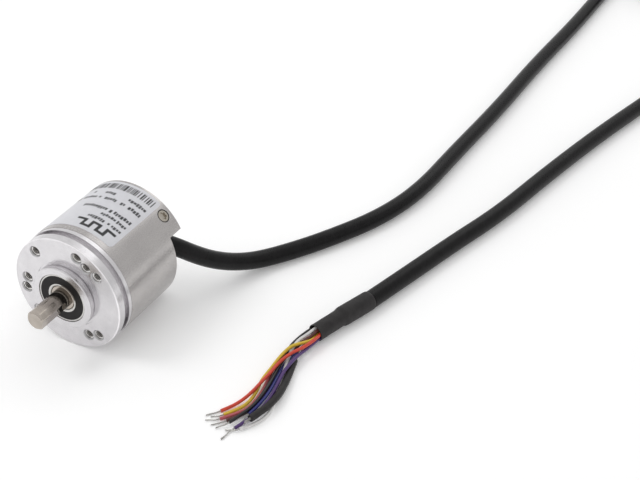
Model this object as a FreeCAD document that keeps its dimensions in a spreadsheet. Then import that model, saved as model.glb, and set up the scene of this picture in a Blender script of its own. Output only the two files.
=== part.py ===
import FreeCAD, Part
import Sketcher
import math
import os

# A 37 mm incremental rotary encoder lying on its side, shaft along Y.
# Millimetres. The shaft points along -Y, the cable leaves towards +X and +Z is up.
# The origin is on the shaft's axis, on the flange's mounting face.

V = FreeCAD.Vector
ALONG_Y = FreeCAD.Rotation(V(1, 0, 0), -90)
ALONG_X = FreeCAD.Rotation(V(0, 1, 0), 90)

DIMENSIONS = {
    # Places along the shaft's axis, from the shaft's tip to the housing's back.
    "axis": 0.0,
    "tip_front": -14.3,
    "tip_chamfer_back": -13.8,
    "flat_back": -4.4,
    "collar_front": -2.4,
    "collar_chamfer_back": -2.15,
    "bearing_front": -2.2,
    "shoulder_front": -2.0,
    "shoulder_chamfer_back": -1.75,
    "mounting_face": 0.0,
    "flange_chamfer_back": 0.3,
    "relief_back": 0.25,
    "flange_back": 2.7,
    "front_bearing_back": 2.8,
    "groove_back": 4.5,
    "seam": 5.9,
    "plate_back": 6.2,
    "seal_groove_front": 7.2,
    "seal_groove_back": 8.9,
    "spring_front": 8.8,
    "rear_bearing_front": 9.8,
    "spigot_back": 10.5,
    "rear_bearing_back": 14.8,
    "clip_back": 15.5,
    "hub_boss_back": 16.0,
    "shaft_step": 16.2,
    "emitter_block_front": 16.4,
    "hub_front": 16.6,
    "hub_flange_front": 19.2,
    "emitter_block_back": 19.4,
    "disc_front": 20.2,
    "disc_back": 21.0,
    "shaft_back": 21.3,
    "hub_back": 21.6,
    "mask_back": 22.2,
    "board_front": 24.2,
    "board_back": 25.4,
    "cap_front": 27.2,
    "notch_front": 28.4,
    "cap_screw_line": 31.0,
    "cap_cavity_back": 32.6,
    "sleeve_fillet_front": 33.9,
    "cap_back": 34.0,
    "sleeve_back": 34.4,
    # Radii of the turned parts.
    "shaft_radius": 3.0,
    "shaft_tip_radius": 2.5,
    "seat_radius": 4.0,
    "shoulder_radius": 3.75,
    "shaft_land_radius": 4.9,
    "clip_groove_radius": 3.6,
    "clip_radius": 5.2,
    "collar_radius": 10.0,
    "collar_chamfer_radius": 9.75,
    "relief_radius": 10.6,
    "flange_radius": 18.25,
    "flange_chamfer_radius": 17.95,
    "servo_groove_radius": 16.75,
    "rim_radius": 18.4,
    "spigot_radius": 17.25,
    "spigot_bore_radius": 15.4,
    "seal_groove_radius": 16.2,
    "bearing_radius": 8.0,
    "bore_land_radius": 7.2,
    "hub_boss_radius": 10.5,
    "sleeve_radius": 18.5,
    "sleeve_fillet_radius": 18.0,
    "sleeve_bore_radius": 17.3,
    "cap_radius": 17.25,
    "cap_cavity_radius": 13.8,
    "hub_radius": 6.4,
    "hub_flange_radius": 7.5,
    "disc_bore_radius": 4.0,
    "disc_radius": 11.6,
    "board_radius": 16.0,
    "seal_ring_middle": 16.75,
    "seal_ring_section": 0.55,
    # Ball bearings of 8 x 16 x 5 mm.
    "inner_ring_radius": 5.0,
    "inner_ring_seal_radius": 4.7,
    "outer_ring_bore": 7.1,
    "outer_ring_seal_bore": 7.4,
    "seal_step": 0.7,
    "ball_circle_radius": 6.05,
    "ball_radius": 1.19,
    "raceway_radius": 1.24,
    "cage_pocket_radius": 1.25,
    "cage_bore_radius": 5.4,
    "cage_radius": 6.7,
    "cage_width": 3.1,
    "seal_lip_radius": 4.75,
    "seal_width": 0.5,
    "seal_inset": 0.1,
    "ring_chamfer": 0.25,
    "bearing_width": 5.0,
    "ball_count": 9,
    # The shaft's flat.
    "flat_distance": 2.4,
    "flat_angle": -19.0,
    # Tapped mounting holes: three groups, each on its own circle.
    "mount_hole_diameter": 3.0,
    "mount_hole_mouth": 3.7,
    "mount_hole_depth": 5.0,
    "wide_circle_radius": 15.0,
    "narrow_circle_radius": 14.0,
    "four_hole_angle": 40.5,
    "three_hole_angle": 70.5,
    "narrow_hole_angle": 56.0,
    # The cable notch in the sleeve and the cap.
    "notch_floor": 10.0,
    "notch_wall_inside": 8.6,
    "notch_top": 7.75,
    "notch_bottom": -14.6,
    "outlet_height": 2.6,
    "gland_face": 13.0,
    "gland_half_height": 4.1,
    "gland_back": 34.2,
    "core_hole_line": 30.2,
    "core_hole_radius": 2.2,
    # Countersunk cap screws with a six-lobed recess.
    "cap_screw_angle": 44.3,
    "cap_screw_mouth": 4.6,
    "cap_screw_hole": 2.6,
    "cap_screw_thread_hole": 2.5,
    "cap_screw_shank": 1.22,
    "cap_screw_head": 1.95,
    "cap_screw_top": 18.15,
    "cap_screw_recess_depth": 0.55,
    "recess_radius": 0.98,
    "lobe_radius": 0.28,
    # The printed label.
    "label_right_angle": 53.2,
    "label_left_angle": 148.0,
    "label_front": 7.9,
    "label_back": 33.1,
    "label_thickness": 0.1,
    # Optics and electronics.
    "optics_angle": 70.0,
    "standoff_circle_radius": 13.8,
    "standoff_radius": 1.5,
    "standoff_bore": 1.0,
    "standoff_bore_front": 18.0,
    "first_standoff_angle": 100.0,
    "board_screw_head": 1.9,
    "board_screw_head_height": 1.3,
    "board_screw_shank": 0.98,
    "board_hole_radius": 1.1,
    "lead_radius": 0.3,
    "core_radius": 0.45,
    "core_pitch": 1.25,
    "grub_screw_radius": 1.0,
    # The cable and what is on its end.
    "floor": -18.5,
    "cable_diameter": 5.6,
    "coil_centre_x": 94.6,
    "coil_centre_y": 337.0,
    "coil_middle_radius": 31.4,
    "coil_turns_across": 3.0,
    "coil_height": 11.2,
    "tie_width": 6.0,
    "tie_thickness": 0.4,
    "tie_angle": 100.0,
    "shrink_wide_radius": 3.1,
    "shrink_narrow_radius": 2.8,
    "shrink_bore_radius": 2.45,
    "shrink_mouth_depth": 4.2,
    "wire_radius": 0.5,
    "drain_sleeve_radius": 1.05,
    "wire_tip_radius": 0.22,
}

# The cable's route, from the gland to the coil and from the coil to its end.
CABLE_FROM_GLAND = [
    (13.0, 31.3, 2.6), (15.6, 33.2, 1.0), (18.4, 37.7, -3.5), (21.3, 43.1, -8.0),
    (24.4, 49.7, -12.0), (28.1, 57.4, -14.9), (33.8, 66.8, -15.7), (41.0, 78.6, -15.7),
    (50.6, 98.2, -15.7), (55.2, 119.5, -15.7), (55.4, 147.0, -15.7), (56.5, 182.0, -15.7),
    (56.0, 222.0, -15.7), (57.2, 262.0, -15.7), (56.8, 298.0, -15.7), (57.4, 321.0, -15.7),
]
CABLE_FROM_COIL = [
    (128.4, 318.4, -12.2), (122.3, 292.0, -15.7), (114.1, 262.0, -15.7), (107.8, 233.0, -15.7),
    (100.5, 204.0, -15.7), (94.5, 178.0, -15.7), (88.8, 148.5, -15.7), (84.0, 119.5, -15.7),
    (77.7, 96.5, -15.7), (72.4, 75.0, -15.7), (68.0, 57.0, -15.5),
]
# The shrink sleeve's line: where it starts, where it narrows and its open end.
SHRINK_LINE = [(68.0, 57.0, -15.4), (64.2, 45.3, -15.4), (61.2, 35.6, -15.6)]

# The wires' routes, from inside the shrink sleeve's mouth to the end of the insulation.
WIRES = {
    "wire_black": [
        (61.2, 39.5, -14.3), (60.5, 37.9, -14.7), (59.4, 36.2, -15.2), (58.1, 32.5, -15.7),
        (57.3, 28.6, -16.3), (57.5, 24.0, -16.7), (58.7, 18.3, -16.8), (59.9, 12.2, -16.8),
        (60.7, 6.6, -16.6), (60.9, 1.5, -16.7), (59.8, -3.5, -16.9), (58.3, -7.3, -17.3),
    ],
    "wire_white": [
        (62.2, 39.3, -13.8), (61.1, 37.4, -14.2), (60.1, 33.3, -14.7), (58.5, 30.1, -15.4),
        (58.3, 26.1, -16.4), (60.3, 19.5, -17.2), (62.2, 13.1, -17.7), (63.9, 7.0, -18.0),
        (65.8, 1.9, -18.0), (64.8, -3.8, -17.9), (61.9, -7.8, -17.8),
    ],
    "wire_brown": [
        (63.3, 39.0, -14.0), (62.1, 36.9, -14.3), (61.1, 32.5, -15.0), (59.6, 30.5, -16.1),
        (58.4, 28.2, -17.2), (57.4, 23.9, -17.8), (58.5, 17.3, -18.0), (59.9, 11.1, -17.9),
        (60.7, 5.5, -17.8), (60.5, 0.3, -17.8), (58.9, -3.6, -17.9), (56.9, -6.5, -18.0),
    ],
    "wire_yellow": [
        (62.2, 39.4, -16.0), (61.6, 37.2, -15.9), (62.2, 32.6, -15.6), (60.5, 29.5, -15.2),
        (58.2, 26.8, -15.1), (57.5, 21.9, -15.5), (57.4, 16.4, -16.4), (57.1, 11.5, -17.2),
        (58.1, 7.3, -17.8), (58.4, 1.8, -18.0), (56.6, -2.2, -18.0), (54.9, -4.8, -18.0),
    ],
    "wire_red": [
        (63.2, 39.0, -15.8), (62.9, 36.7, -15.4), (62.9, 32.5, -15.0), (61.8, 27.8, -15.0),
        (59.5, 23.4, -15.2), (58.5, 18.8, -15.6), (58.5, 14.0, -15.9), (58.0, 10.3, -16.3),
        (57.7, 6.5, -16.8), (56.8, 2.2, -17.3), (55.3, -1.2, -17.7), (53.4, -3.9, -18.0),
    ],
    "wire_violet": [
        (63.4, 39.1, -16.9), (62.8, 36.6, -16.8), (62.2, 29.0, -16.3), (61.5, 24.1, -15.8),
        (61.5, 20.0, -15.7), (61.5, 16.2, -16.0), (62.1, 13.0, -16.4), (62.7, 9.5, -16.9),
        (63.1, 5.4, -17.3), (62.9, 0.6, -17.7), (62.0, -3.1, -17.9), (60.4, -7.9, -18.0),
    ],
    "wire_blue": [
        (62.4, 39.4, -17.2), (61.6, 37.1, -17.4), (59.9, 31.6, -17.7), (59.1, 26.7, -17.9),
        (58.9, 22.2, -17.9), (59.5, 18.0, -17.8), (60.4, 13.9, -17.6), (61.4, 9.2, -17.4),
        (61.7, 4.6, -17.3), (61.6, 1.1, -17.3), (61.2, -1.8, -17.4),
    ],
    "wire_pink": [
        (61.4, 39.8, -16.8), (60.6, 37.5, -17.0), (59.3, 33.7, -17.2), (57.7, 29.0, -17.6),
        (56.3, 25.2, -17.8), (56.7, 19.7, -17.9), (58.1, 13.5, -18.0), (59.1, 9.5, -18.0),
        (59.6, 5.2, -18.0), (59.6, 1.1, -18.0), (58.1, -2.6, -18.0), (54.9, -6.7, -18.0),
    ],
}
# The screen's drain wire is bare braid in a shrink tube of its own from the fourth point on.
DRAIN_WIRE = [
    (61.1, 39.6, -15.4), (60.5, 37.2, -16.0), (60.4, 29.7, -17.0), (60.9, 23.8, -17.4),
]
DRAIN_SLEEVE = [
    (60.9, 23.8, -17.4), (62.3, 18.6, -17.4), (63.5, 14.3, -17.2), (64.6, 9.4, -16.8),
    (65.0, 5.0, -16.4), (64.5, 1.1, -16.3), (63.8, -1.7, -16.2), (63.2, -4.5, -16.1),
]
# Where each stripped conductor ends.
WIRE_TIPS = {
    "wire_black": (55.7, -10.2, -18.1),
    "wire_white": (58.4, -9.6, -18.2),
    "wire_brown": (54.0, -9.8, -18.2),
    "wire_yellow": (52.2, -7.0, -18.2),
    "wire_red": (50.6, -7.2, -18.2),
    "wire_violet": (59.4, -13.1, -18.2),
    "wire_blue": (61.0, -5.3, -17.9),
    "wire_pink": (51.6, -8.8, -18.2),
}

doc = FreeCAD.newDocument("rotary_encoder")
sheet = doc.addObject("Spreadsheet::Sheet", "Dims")
for row, (alias, value) in enumerate(DIMENSIONS.items(), start=1):
    sheet.set(f"A{row}", alias)
    sheet.set(f"B{row}", str(value))
    sheet.setAlias(f"B{row}", alias)
doc.recompute()

nodes = []


def size(alias):
    """The value of one cell of the sheet."""
    return float(sheet.get(alias))


def bind(thing, **sizes):
    """Binds an object's properties to cells of the sheet."""
    for prop, alias in sizes.items():
        thing.setExpression(prop, f"Dims.{alias}")
    return thing


def keep(thing, label):
    """Lists an object as a sub-part, which its label names."""
    thing.Label = label
    nodes.append(thing)
    return thing


def new_body(label):
    body = keep(doc.addObject("PartDesign::Body", "Body"), label)
    body.AllowCompound = True
    return body


def sketch_on(body, role, offset=None):
    """A sketch on one of the body's own origin planes."""
    plane = [f for f in body.Origin.OriginFeatures if f.Role == role][0]
    sketch = body.newObject("Sketcher::SketchObject", "Sketch")
    sketch.AttachmentSupport = [(plane, "")]
    sketch.MapMode = "FlatFace"
    if offset is not None:
        sketch.AttachmentOffset = offset
    return sketch


def constrain(sketch, kind, *where, alias):
    """A dimension of the sketch, bound to a cell of the sheet."""
    index = sketch.addConstraint(Sketcher.Constraint(kind, *where, size(alias)))
    sketch.setExpression(f"Constraints[{index}]", f"Dims.{alias}")


def add_outline(sketch, points):
    """A closed outline. Each point is a pair of aliases: across and along."""
    places = [V(size(a), size(b), 0) for a, b in points]
    count = len(places)
    first = sketch.GeometryCount
    for i in range(count):
        sketch.addGeometry(Part.LineSegment(places[i], places[(i + 1) % count]), False)
    for i in range(count):
        follower = first + (i + 1) % count
        sketch.addConstraint(Sketcher.Constraint("Coincident", first + i, 2, follower, 1))
    for i, (across, along) in enumerate(points):
        constrain(sketch, "DistanceX", -1, 1, first + i, 1, alias=across)
        constrain(sketch, "DistanceY", -1, 1, first + i, 1, alias=along)


def add_circle(sketch, radius, x=0.0, y=0.0):
    """A circle at a fixed place, with its radius bound to the sheet."""
    index = sketch.addGeometry(Part.Circle(V(x, y, 0), V(0, 0, 1), size(radius)), False)
    constrain(sketch, "Radius", index, alias=radius)
    sketch.addConstraint(Sketcher.Constraint("Block", index))


def turned(body, points, angle=360.0):
    """Turns an outline of radius and axial place about the shaft's axis."""
    sketch = sketch_on(body, "XY_Plane")
    add_outline(sketch, points)
    feature = body.newObject("PartDesign::Revolution", "Turned")
    feature.Profile = sketch
    feature.ReferenceAxis = (sketch, ["V_Axis"])
    feature.Angle = angle
    doc.recompute()
    return feature


def ring_groove(body, radius, x, y):
    """A round-bottomed groove, such as a ball's raceway."""
    sketch = sketch_on(body, "XY_Plane")
    add_circle(sketch, radius, x, y)
    feature = body.newObject("PartDesign::Groove", "RingGroove")
    feature.Profile = sketch
    feature.ReferenceAxis = (sketch, ["V_Axis"])
    feature.Angle = 360.0
    doc.recompute()
    return feature


def cut_is_real(body, before, what):
    """Stops the build if a cut has removed nothing."""
    doc.recompute()
    if body.Shape.Volume > before - 1e-3:
        raise RuntimeError(f"{body.Label}: the {what} cut nothing")


def repeat_about_shaft(body, features, count, angle=360.0):
    """Repeats features about the shaft's axis."""
    axis = [f for f in body.Origin.OriginFeatures if f.Role == "Y_Axis"][0]
    pattern = body.newObject("PartDesign::PolarPattern", "Round")
    pattern.Originals = features
    pattern.Axis = (axis, [""])
    pattern.Angle = angle
    pattern.Occurrences = count
    body.Tip = pattern
    doc.recompute()
    return pattern


def polar(radius, degrees, y=0.0):
    """A point at an angle from +X towards +Z, seen from the front."""
    turn = math.radians(degrees)
    return V(radius * math.cos(turn), y, radius * math.sin(turn))


def cylinder_y(radius, start, end, x=0.0, z=0.0):
    """A bar along Y between two places on the axis."""
    bar = bind(doc.addObject("Part::Cylinder", "Bar"), Radius=radius)
    bar.setExpression("Height", f"Dims.{end} - Dims.{start}")
    bar.Placement = FreeCAD.Placement(V(x, size(start), z), ALONG_Y)
    return bar


def block(start, end, x, z, width, height, turn=0.0):
    """A box between two places on the axis, with its middle at x, z, turned about the axis."""
    box = doc.addObject("Part::Box", "Block")
    box.Length = width
    box.Height = height
    box.setExpression("Width", f"Dims.{end} - Dims.{start}")
    local = FreeCAD.Placement(V(x - width / 2, size(start), z - height / 2), FreeCAD.Rotation())
    box.Placement = FreeCAD.Placement(V(), FreeCAD.Rotation(V(0, 1, 0), -turn)).multiply(local)
    return box


def fused(parts):
    whole = doc.addObject("Part::MultiFuse", "Joined")
    whole.Shapes = parts
    return whole


def cut(base, tools):
    """The base without the tools."""
    result = doc.addObject("Part::Cut", "Cut")
    result.Base = base
    result.Tool = fused(tools) if len(tools) > 1 else tools[0]
    return result


def group(parts):
    """Several separate solids that share a node."""
    whole = doc.addObject("Part::Compound", "Group")
    whole.Links = parts
    return whole


def rounded_path(points):
    """Straight runs joined by tangent arcs, and the arcs' radii."""
    places = [V(*p) for p in points]
    edges, radii, start = [], [], places[0]
    for before, here, after in zip(places, places[1:], places[2:]):
        back, ahead = before - here, after - here
        run = min(back.Length, ahead.Length)
        half_turn = (math.pi - back.getAngle(ahead)) / 2
        reach = 0.45 * run
        radii.append(reach / math.tan(half_turn))
        enter = here + back.normalize() * reach
        leave = here + ahead.normalize() * reach
        inward = (back + ahead).normalize()
        middle = here + inward * (radii[-1] / math.cos(half_turn) - radii[-1])
        edges.append(Part.LineSegment(start, enter).toShape())
        edges.append(Part.Arc(enter, middle, leave).toShape())
        start = leave
    edges.append(Part.LineSegment(start, places[-1]).toShape())
    return Part.Wire(edges), radii


def tube(label, points, radius):
    """A solid round tube along a route."""
    path, radii = rounded_path(points)
    start, towards = V(*points[0]), V(*points[1]) - V(*points[0])
    section = Part.Wire([Part.makeCircle(radius, start, towards)])
    solid = path.makePipeShell([section], True, False)
    expected = math.pi * radius ** 2 * path.Length
    if abs(solid.Volume - expected) > 0.02 * expected:
        raise RuntimeError(f"{label}: the tube's volume is {solid.Volume}, not {expected}")
    feature = doc.addObject("Part::Feature", "Tube")
    feature.Shape = solid
    feature.Placement = FreeCAD.Placement()
    print(label, "length", round(path.Length, 1), "arc radii", [round(r, 1) for r in radii])
    return keep(feature, label)


def make_flange():
    """The flange: mounting face, centring collar, servo groove, spigot and bearing hub."""
    body = new_body("front_flange")
    turned(body, [
        ("bearing_radius", "collar_front"), ("collar_chamfer_radius", "collar_front"),
        ("collar_radius", "collar_chamfer_back"), ("collar_radius", "relief_back"),
        ("relief_radius", "relief_back"), ("relief_radius", "mounting_face"),
        ("flange_chamfer_radius", "mounting_face"), ("flange_radius", "flange_chamfer_back"),
        ("flange_radius", "flange_back"), ("servo_groove_radius", "flange_back"),
        ("servo_groove_radius", "groove_back"), ("rim_radius", "groove_back"),
        ("rim_radius", "seam"), ("spigot_radius", "seam"),
        ("spigot_radius", "seal_groove_front"), ("seal_groove_radius", "seal_groove_front"),
        ("seal_groove_radius", "seal_groove_back"), ("spigot_radius", "seal_groove_back"),
        ("spigot_radius", "spigot_back"), ("spigot_bore_radius", "spigot_back"),
        ("spigot_bore_radius", "plate_back"), ("hub_boss_radius", "plate_back"),
        ("hub_boss_radius", "hub_boss_back"), ("bearing_radius", "hub_boss_back"),
        ("bearing_radius", "spring_front"), ("bore_land_radius", "spring_front"),
        ("bore_land_radius", "front_bearing_back"), ("bearing_radius", "front_bearing_back"),
    ])
    groups = [
        ("wide_circle_radius", "four_hole_angle", 4),
        ("wide_circle_radius", "three_hole_angle", 3),
        ("narrow_circle_radius", "narrow_hole_angle", 3),
    ]
    for circle, angle, count in groups:
        before = body.Shape.Volume
        place = polar(size(circle), size(angle))
        sketch = sketch_on(body, "XZ_Plane")
        sketch.addGeometry(Part.Circle(V(place.x, place.z, 0), V(0, 0, 1), 1.5), False)
        doc.recompute()
        hole = body.newObject("PartDesign::Hole", "TappedHole")
        hole.Profile = sketch
        hole.DepthType = "Dimension"
        hole.HoleCutType = "Countersink"
        hole.HoleCutCountersinkAngle = 90.0
        hole.DrillPoint = "Angled"
        bind(hole, Diameter="mount_hole_diameter", Depth="mount_hole_depth",
             HoleCutDiameter="mount_hole_mouth")
        doc.recompute()
        repeat_about_shaft(body, [hole], count)
        cut_is_real(body, before, "mounting holes")


def make_housing_sleeve():
    """The round housing, open at the back, with the cable's notch and three screw holes."""
    body = new_body("housing_sleeve")
    turned(body, [
        ("sleeve_bore_radius", "seam"), ("sleeve_radius", "seam"),
        ("sleeve_radius", "sleeve_fillet_front"), ("sleeve_fillet_radius", "sleeve_back"),
        ("sleeve_bore_radius", "sleeve_back"),
    ])
    cut_notch(body, "sleeve_radius")
    cut_radial_holes(body, "sleeve_radius", True)


def cut_notch(body, outer):
    """Cuts the cable's notch, which is open to the side and to the back."""
    before = body.Shape.Volume
    sketch = sketch_on(body, "XZ_Plane", FreeCAD.Placement(
        V(0, 0, -size("notch_front")), FreeCAD.Rotation()))
    left, right = size("notch_floor"), size(outer) + 1
    low, high = size("notch_bottom"), size("notch_top")
    corners = [V(left, low, 0), V(right, low, 0), V(right, high, 0), V(left, high, 0)]
    for i in range(4):
        sketch.addGeometry(Part.LineSegment(corners[i], corners[(i + 1) % 4]), False)
    for i in range(4):
        sketch.addConstraint(Sketcher.Constraint("Coincident", i, 2, (i + 1) % 4, 1))
        sketch.addConstraint(Sketcher.Constraint("Horizontal" if i % 2 == 0 else "Vertical", i))
    constrain(sketch, "DistanceX", -1, 1, 0, 1, alias="notch_floor")
    constrain(sketch, "DistanceY", -1, 1, 0, 1, alias="notch_bottom")
    constrain(sketch, "DistanceY", -1, 1, 2, 1, alias="notch_top")
    feature = body.newObject("PartDesign::Pocket", "Notch")
    feature.Profile = sketch
    feature.Type = "ThroughAll"
    cut_is_real(body, before, "notch")


def cut_radial_holes(body, outer, countersunk):
    """Three holes square to the side for the cap's screws."""
    before = body.Shape.Volume
    turn = FreeCAD.Rotation(V(1, 0, 0), -size("cap_screw_angle"))
    offset = FreeCAD.Placement(turn.multVec(V(0, 0, size(outer))), turn)
    sketch = sketch_on(body, "YZ_Plane", offset)
    sketch.addGeometry(Part.Circle(V(size("cap_screw_line"), 0, 0), V(0, 0, 1), 1.3), False)
    doc.recompute()
    hole = body.newObject("PartDesign::Hole", "ScrewHole")
    hole.Profile = sketch
    hole.DepthType = "Dimension"
    hole.Depth = 6.0
    if countersunk:
        hole.HoleCutType = "Countersink"
        hole.HoleCutCountersinkAngle = 90.0
        bind(hole, Diameter="cap_screw_hole", HoleCutDiameter="cap_screw_mouth")
    else:
        bind(hole, Diameter="cap_screw_thread_hole")
    doc.recompute()
    repeat_about_shaft(body, [hole], 3)
    cut_is_real(body, before, "screw holes")


def make_rear_cap():
    """The plug that closes the back, with a shelf for the cable's outlet."""
    plug = cylinder_y("cap_radius", "cap_front", "cap_back")
    cavity = doc.addObject("Part::Common", "Cavity")
    cavity.Base = cylinder_y("cap_cavity_radius", "cap_front", "cap_cavity_back")
    wide = 2 * size("cap_radius")
    cavity.Tool = block("cap_front", "cap_cavity_back",
                        size("notch_wall_inside") - wide / 2, 0, wide, wide)
    reach = size("sleeve_radius") - size("notch_floor")
    height = size("notch_top") - size("notch_bottom")
    notch = block("notch_front", "sleeve_back", size("notch_floor") + reach / 2,
                  size("notch_bottom") + height / 2, reach, height)
    outlet = along_x("core_hole_radius", size("notch_wall_inside") - 1, size("notch_floor") + 1)
    holes = []
    for number in range(3):
        hole = doc.addObject("Part::Cylinder", "ScrewHole")
        hole.setExpression("Radius", "Dims.cap_screw_thread_hole / 2")
        hole.Height = size("sleeve_radius") - size("cap_cavity_radius") + 1
        hole.Placement = radial_place(number, size("cap_cavity_radius") - 1)
        holes.append(hole)
    keep(cut(plug, [cavity, notch, outlet] + holes), "rear_cap")


def along_x(radius, start, end):
    """A bar along X on the outlet's line through the cap's wall."""
    bar = bind(doc.addObject("Part::Cylinder", "Bar"), Radius=radius)
    bar.Height = end - start
    bar.Placement = FreeCAD.Placement(V(start, size("core_hole_line"), size("outlet_height")),
                                      ALONG_X)
    return bar


def radial_place(number, radius):
    """The place of something that points straight out at one of the three cap screws."""
    angle = size("cap_screw_angle") + 120 * number
    about = FreeCAD.Placement(V(), FreeCAD.Rotation(V(0, 1, 0), -angle))
    return about.multiply(FreeCAD.Placement(V(radius, size("cap_screw_line"), 0), ALONG_X))


def make_cap_screws():
    """Three countersunk screws with six-lobed recesses."""
    screws = []
    top, head, shank = size("cap_screw_top"), size("cap_screw_head"), size("cap_screw_shank")
    neck = top - (head - shank)
    tip = size("cap_cavity_radius") + 0.4
    recess_floor = top - size("cap_screw_recess_depth")
    for number in range(3):
        rod = bind(doc.addObject("Part::Cylinder", "Shank"), Radius="cap_screw_shank")
        rod.Height = neck - tip
        rod.Placement = radial_place(number, tip)
        cone = doc.addObject("Part::Cone", "Head")
        bind(cone, Radius1="cap_screw_shank", Radius2="cap_screw_head")
        cone.Height = top - neck
        cone.Placement = radial_place(number, neck)
        core = bind(doc.addObject("Part::Cylinder", "Recess"), Radius="recess_radius")
        core.Height = 1.5
        core.Placement = radial_place(number, recess_floor)
        lobes = [core]
        for step in range(6):
            turn = math.radians(60 * step)
            lobe = bind(doc.addObject("Part::Cylinder", "Lobe"), Radius="lobe_radius")
            lobe.Height = 1.5
            aside = V(math.cos(turn), math.sin(turn), 0) * size("recess_radius")
            lobe.Placement = radial_place(number, recess_floor).multiply(
                FreeCAD.Placement(aside, FreeCAD.Rotation()))
            lobes.append(lobe)
        screws.append(cut(fused([rod, cone]), lobes))
    keep(group(screws), "rear_cap_screws")


def make_seal():
    """The O-ring between the flange's spigot and the sleeve."""
    ring = bind(doc.addObject("Part::Torus", "Ring"), Radius1="seal_ring_middle",
                Radius2="seal_ring_section")
    middle = (size("seal_groove_front") + size("seal_groove_back")) / 2
    ring.Placement = FreeCAD.Placement(V(0, middle, 0), ALONG_Y)
    keep(ring, "housing_seal")


def make_label():
    """The label: a thin film round the top of the sleeve, with rounded corners."""
    body = new_body("label")
    sketch = sketch_on(body, "XY_Plane")
    low, high = V(size("sleeve_radius"), size("label_front"), 0), V(0, size("label_back"), 0)
    outer = low.x + size("label_thickness")
    corners = [low, V(outer, low.y, 0), V(outer, high.y, 0), V(low.x, high.y, 0)]
    for i in range(4):
        sketch.addGeometry(Part.LineSegment(corners[i], corners[(i + 1) % 4]), False)
    for i in range(4):
        sketch.addConstraint(Sketcher.Constraint("Coincident", i, 2, (i + 1) % 4, 1))
        sketch.addConstraint(Sketcher.Constraint("Horizontal" if i % 2 == 0 else "Vertical", i))
    constrain(sketch, "DistanceX", -1, 1, 0, 1, alias="sleeve_radius")
    constrain(sketch, "DistanceX", 0, 1, 0, 2, alias="label_thickness")
    constrain(sketch, "DistanceY", -1, 1, 0, 1, alias="label_front")
    constrain(sketch, "DistanceY", -1, 1, 2, 1, alias="label_back")
    film = body.newObject("PartDesign::Revolution", "Film")
    film.Profile = sketch
    film.ReferenceAxis = (sketch, ["V_Axis"])
    film.setExpression("Angle", "Dims.label_left_angle - Dims.label_right_angle")
    doc.recompute()
    short = [f"Edge{i}" for i, edge in enumerate(film.Shape.Edges, start=1)
             if edge.Length < 2 * size("label_thickness")]
    corner = body.newObject("PartDesign::Fillet", "Corners")
    corner.Base = (film, short)
    corner.Radius = 1.3
    body.Placement = FreeCAD.Placement(
        V(), FreeCAD.Rotation(V(0, 1, 0), -size("label_left_angle")))
    doc.recompute()


def make_shaft():
    """The stepped shaft with its flat."""
    body = new_body("shaft")
    blank = turned(body, [
        ("axis", "tip_front"), ("shaft_tip_radius", "tip_front"),
        ("shaft_radius", "tip_chamfer_back"), ("shaft_radius", "flat_back"),
        ("shaft_radius", "shoulder_front"),
        ("shoulder_radius", "shoulder_front"), ("seat_radius", "shoulder_chamfer_back"),
        ("seat_radius", "front_bearing_back"), ("shaft_land_radius", "front_bearing_back"),
        ("shaft_land_radius", "rear_bearing_front"), ("seat_radius", "rear_bearing_front"),
        ("seat_radius", "rear_bearing_back"), ("clip_groove_radius", "rear_bearing_back"),
        ("clip_groove_radius", "clip_back"), ("seat_radius", "clip_back"),
        ("seat_radius", "shaft_step"), ("shaft_radius", "shaft_step"),
        ("shaft_radius", "shaft_back"), ("axis", "shaft_back"),
    ])
    # The round wall and the flatted wall stay two faces.
    blank.Refine = False
    doc.recompute()
    before = body.Shape.Volume
    sketch = sketch_on(body, "XZ_Plane", FreeCAD.Placement(
        V(0, 0, -size("tip_front") + 1), FreeCAD.Rotation(V(0, 0, 1), size("flat_angle"))))
    near, far = size("flat_distance"), size("shaft_radius") + 1
    corners = [V(near, -far, 0), V(far, -far, 0), V(far, far, 0), V(near, far, 0)]
    for i in range(4):
        sketch.addGeometry(Part.LineSegment(corners[i], corners[(i + 1) % 4]), False)
    for i in range(4):
        sketch.addConstraint(Sketcher.Constraint("Coincident", i, 2, (i + 1) % 4, 1))
        sketch.addConstraint(Sketcher.Constraint("Horizontal" if i % 2 == 0 else "Vertical", i))
    constrain(sketch, "DistanceX", -1, 1, 0, 1, alias="flat_distance")
    flat = body.newObject("PartDesign::Pocket", "Flat")
    flat.Profile = sketch
    flat.Type = "Length"
    flat.Refine = False
    flat.setExpression("Length", "Dims.flat_back - Dims.tip_front + 1")
    cut_is_real(body, before, "flat")


def make_retaining_ring():
    """The open ring that holds the rear bearing on the shaft."""
    ring = cut(cylinder_y("clip_radius", "rear_bearing_back", "clip_back"), [
        cylinder_y("clip_groove_radius", "rear_bearing_back", "clip_back"),
        block("rear_bearing_back", "clip_back", size("clip_radius"), 0,
              2 * size("clip_radius") - 1, 3.0, turn=200.0)])
    keep(ring, "retaining_ring")


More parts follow.
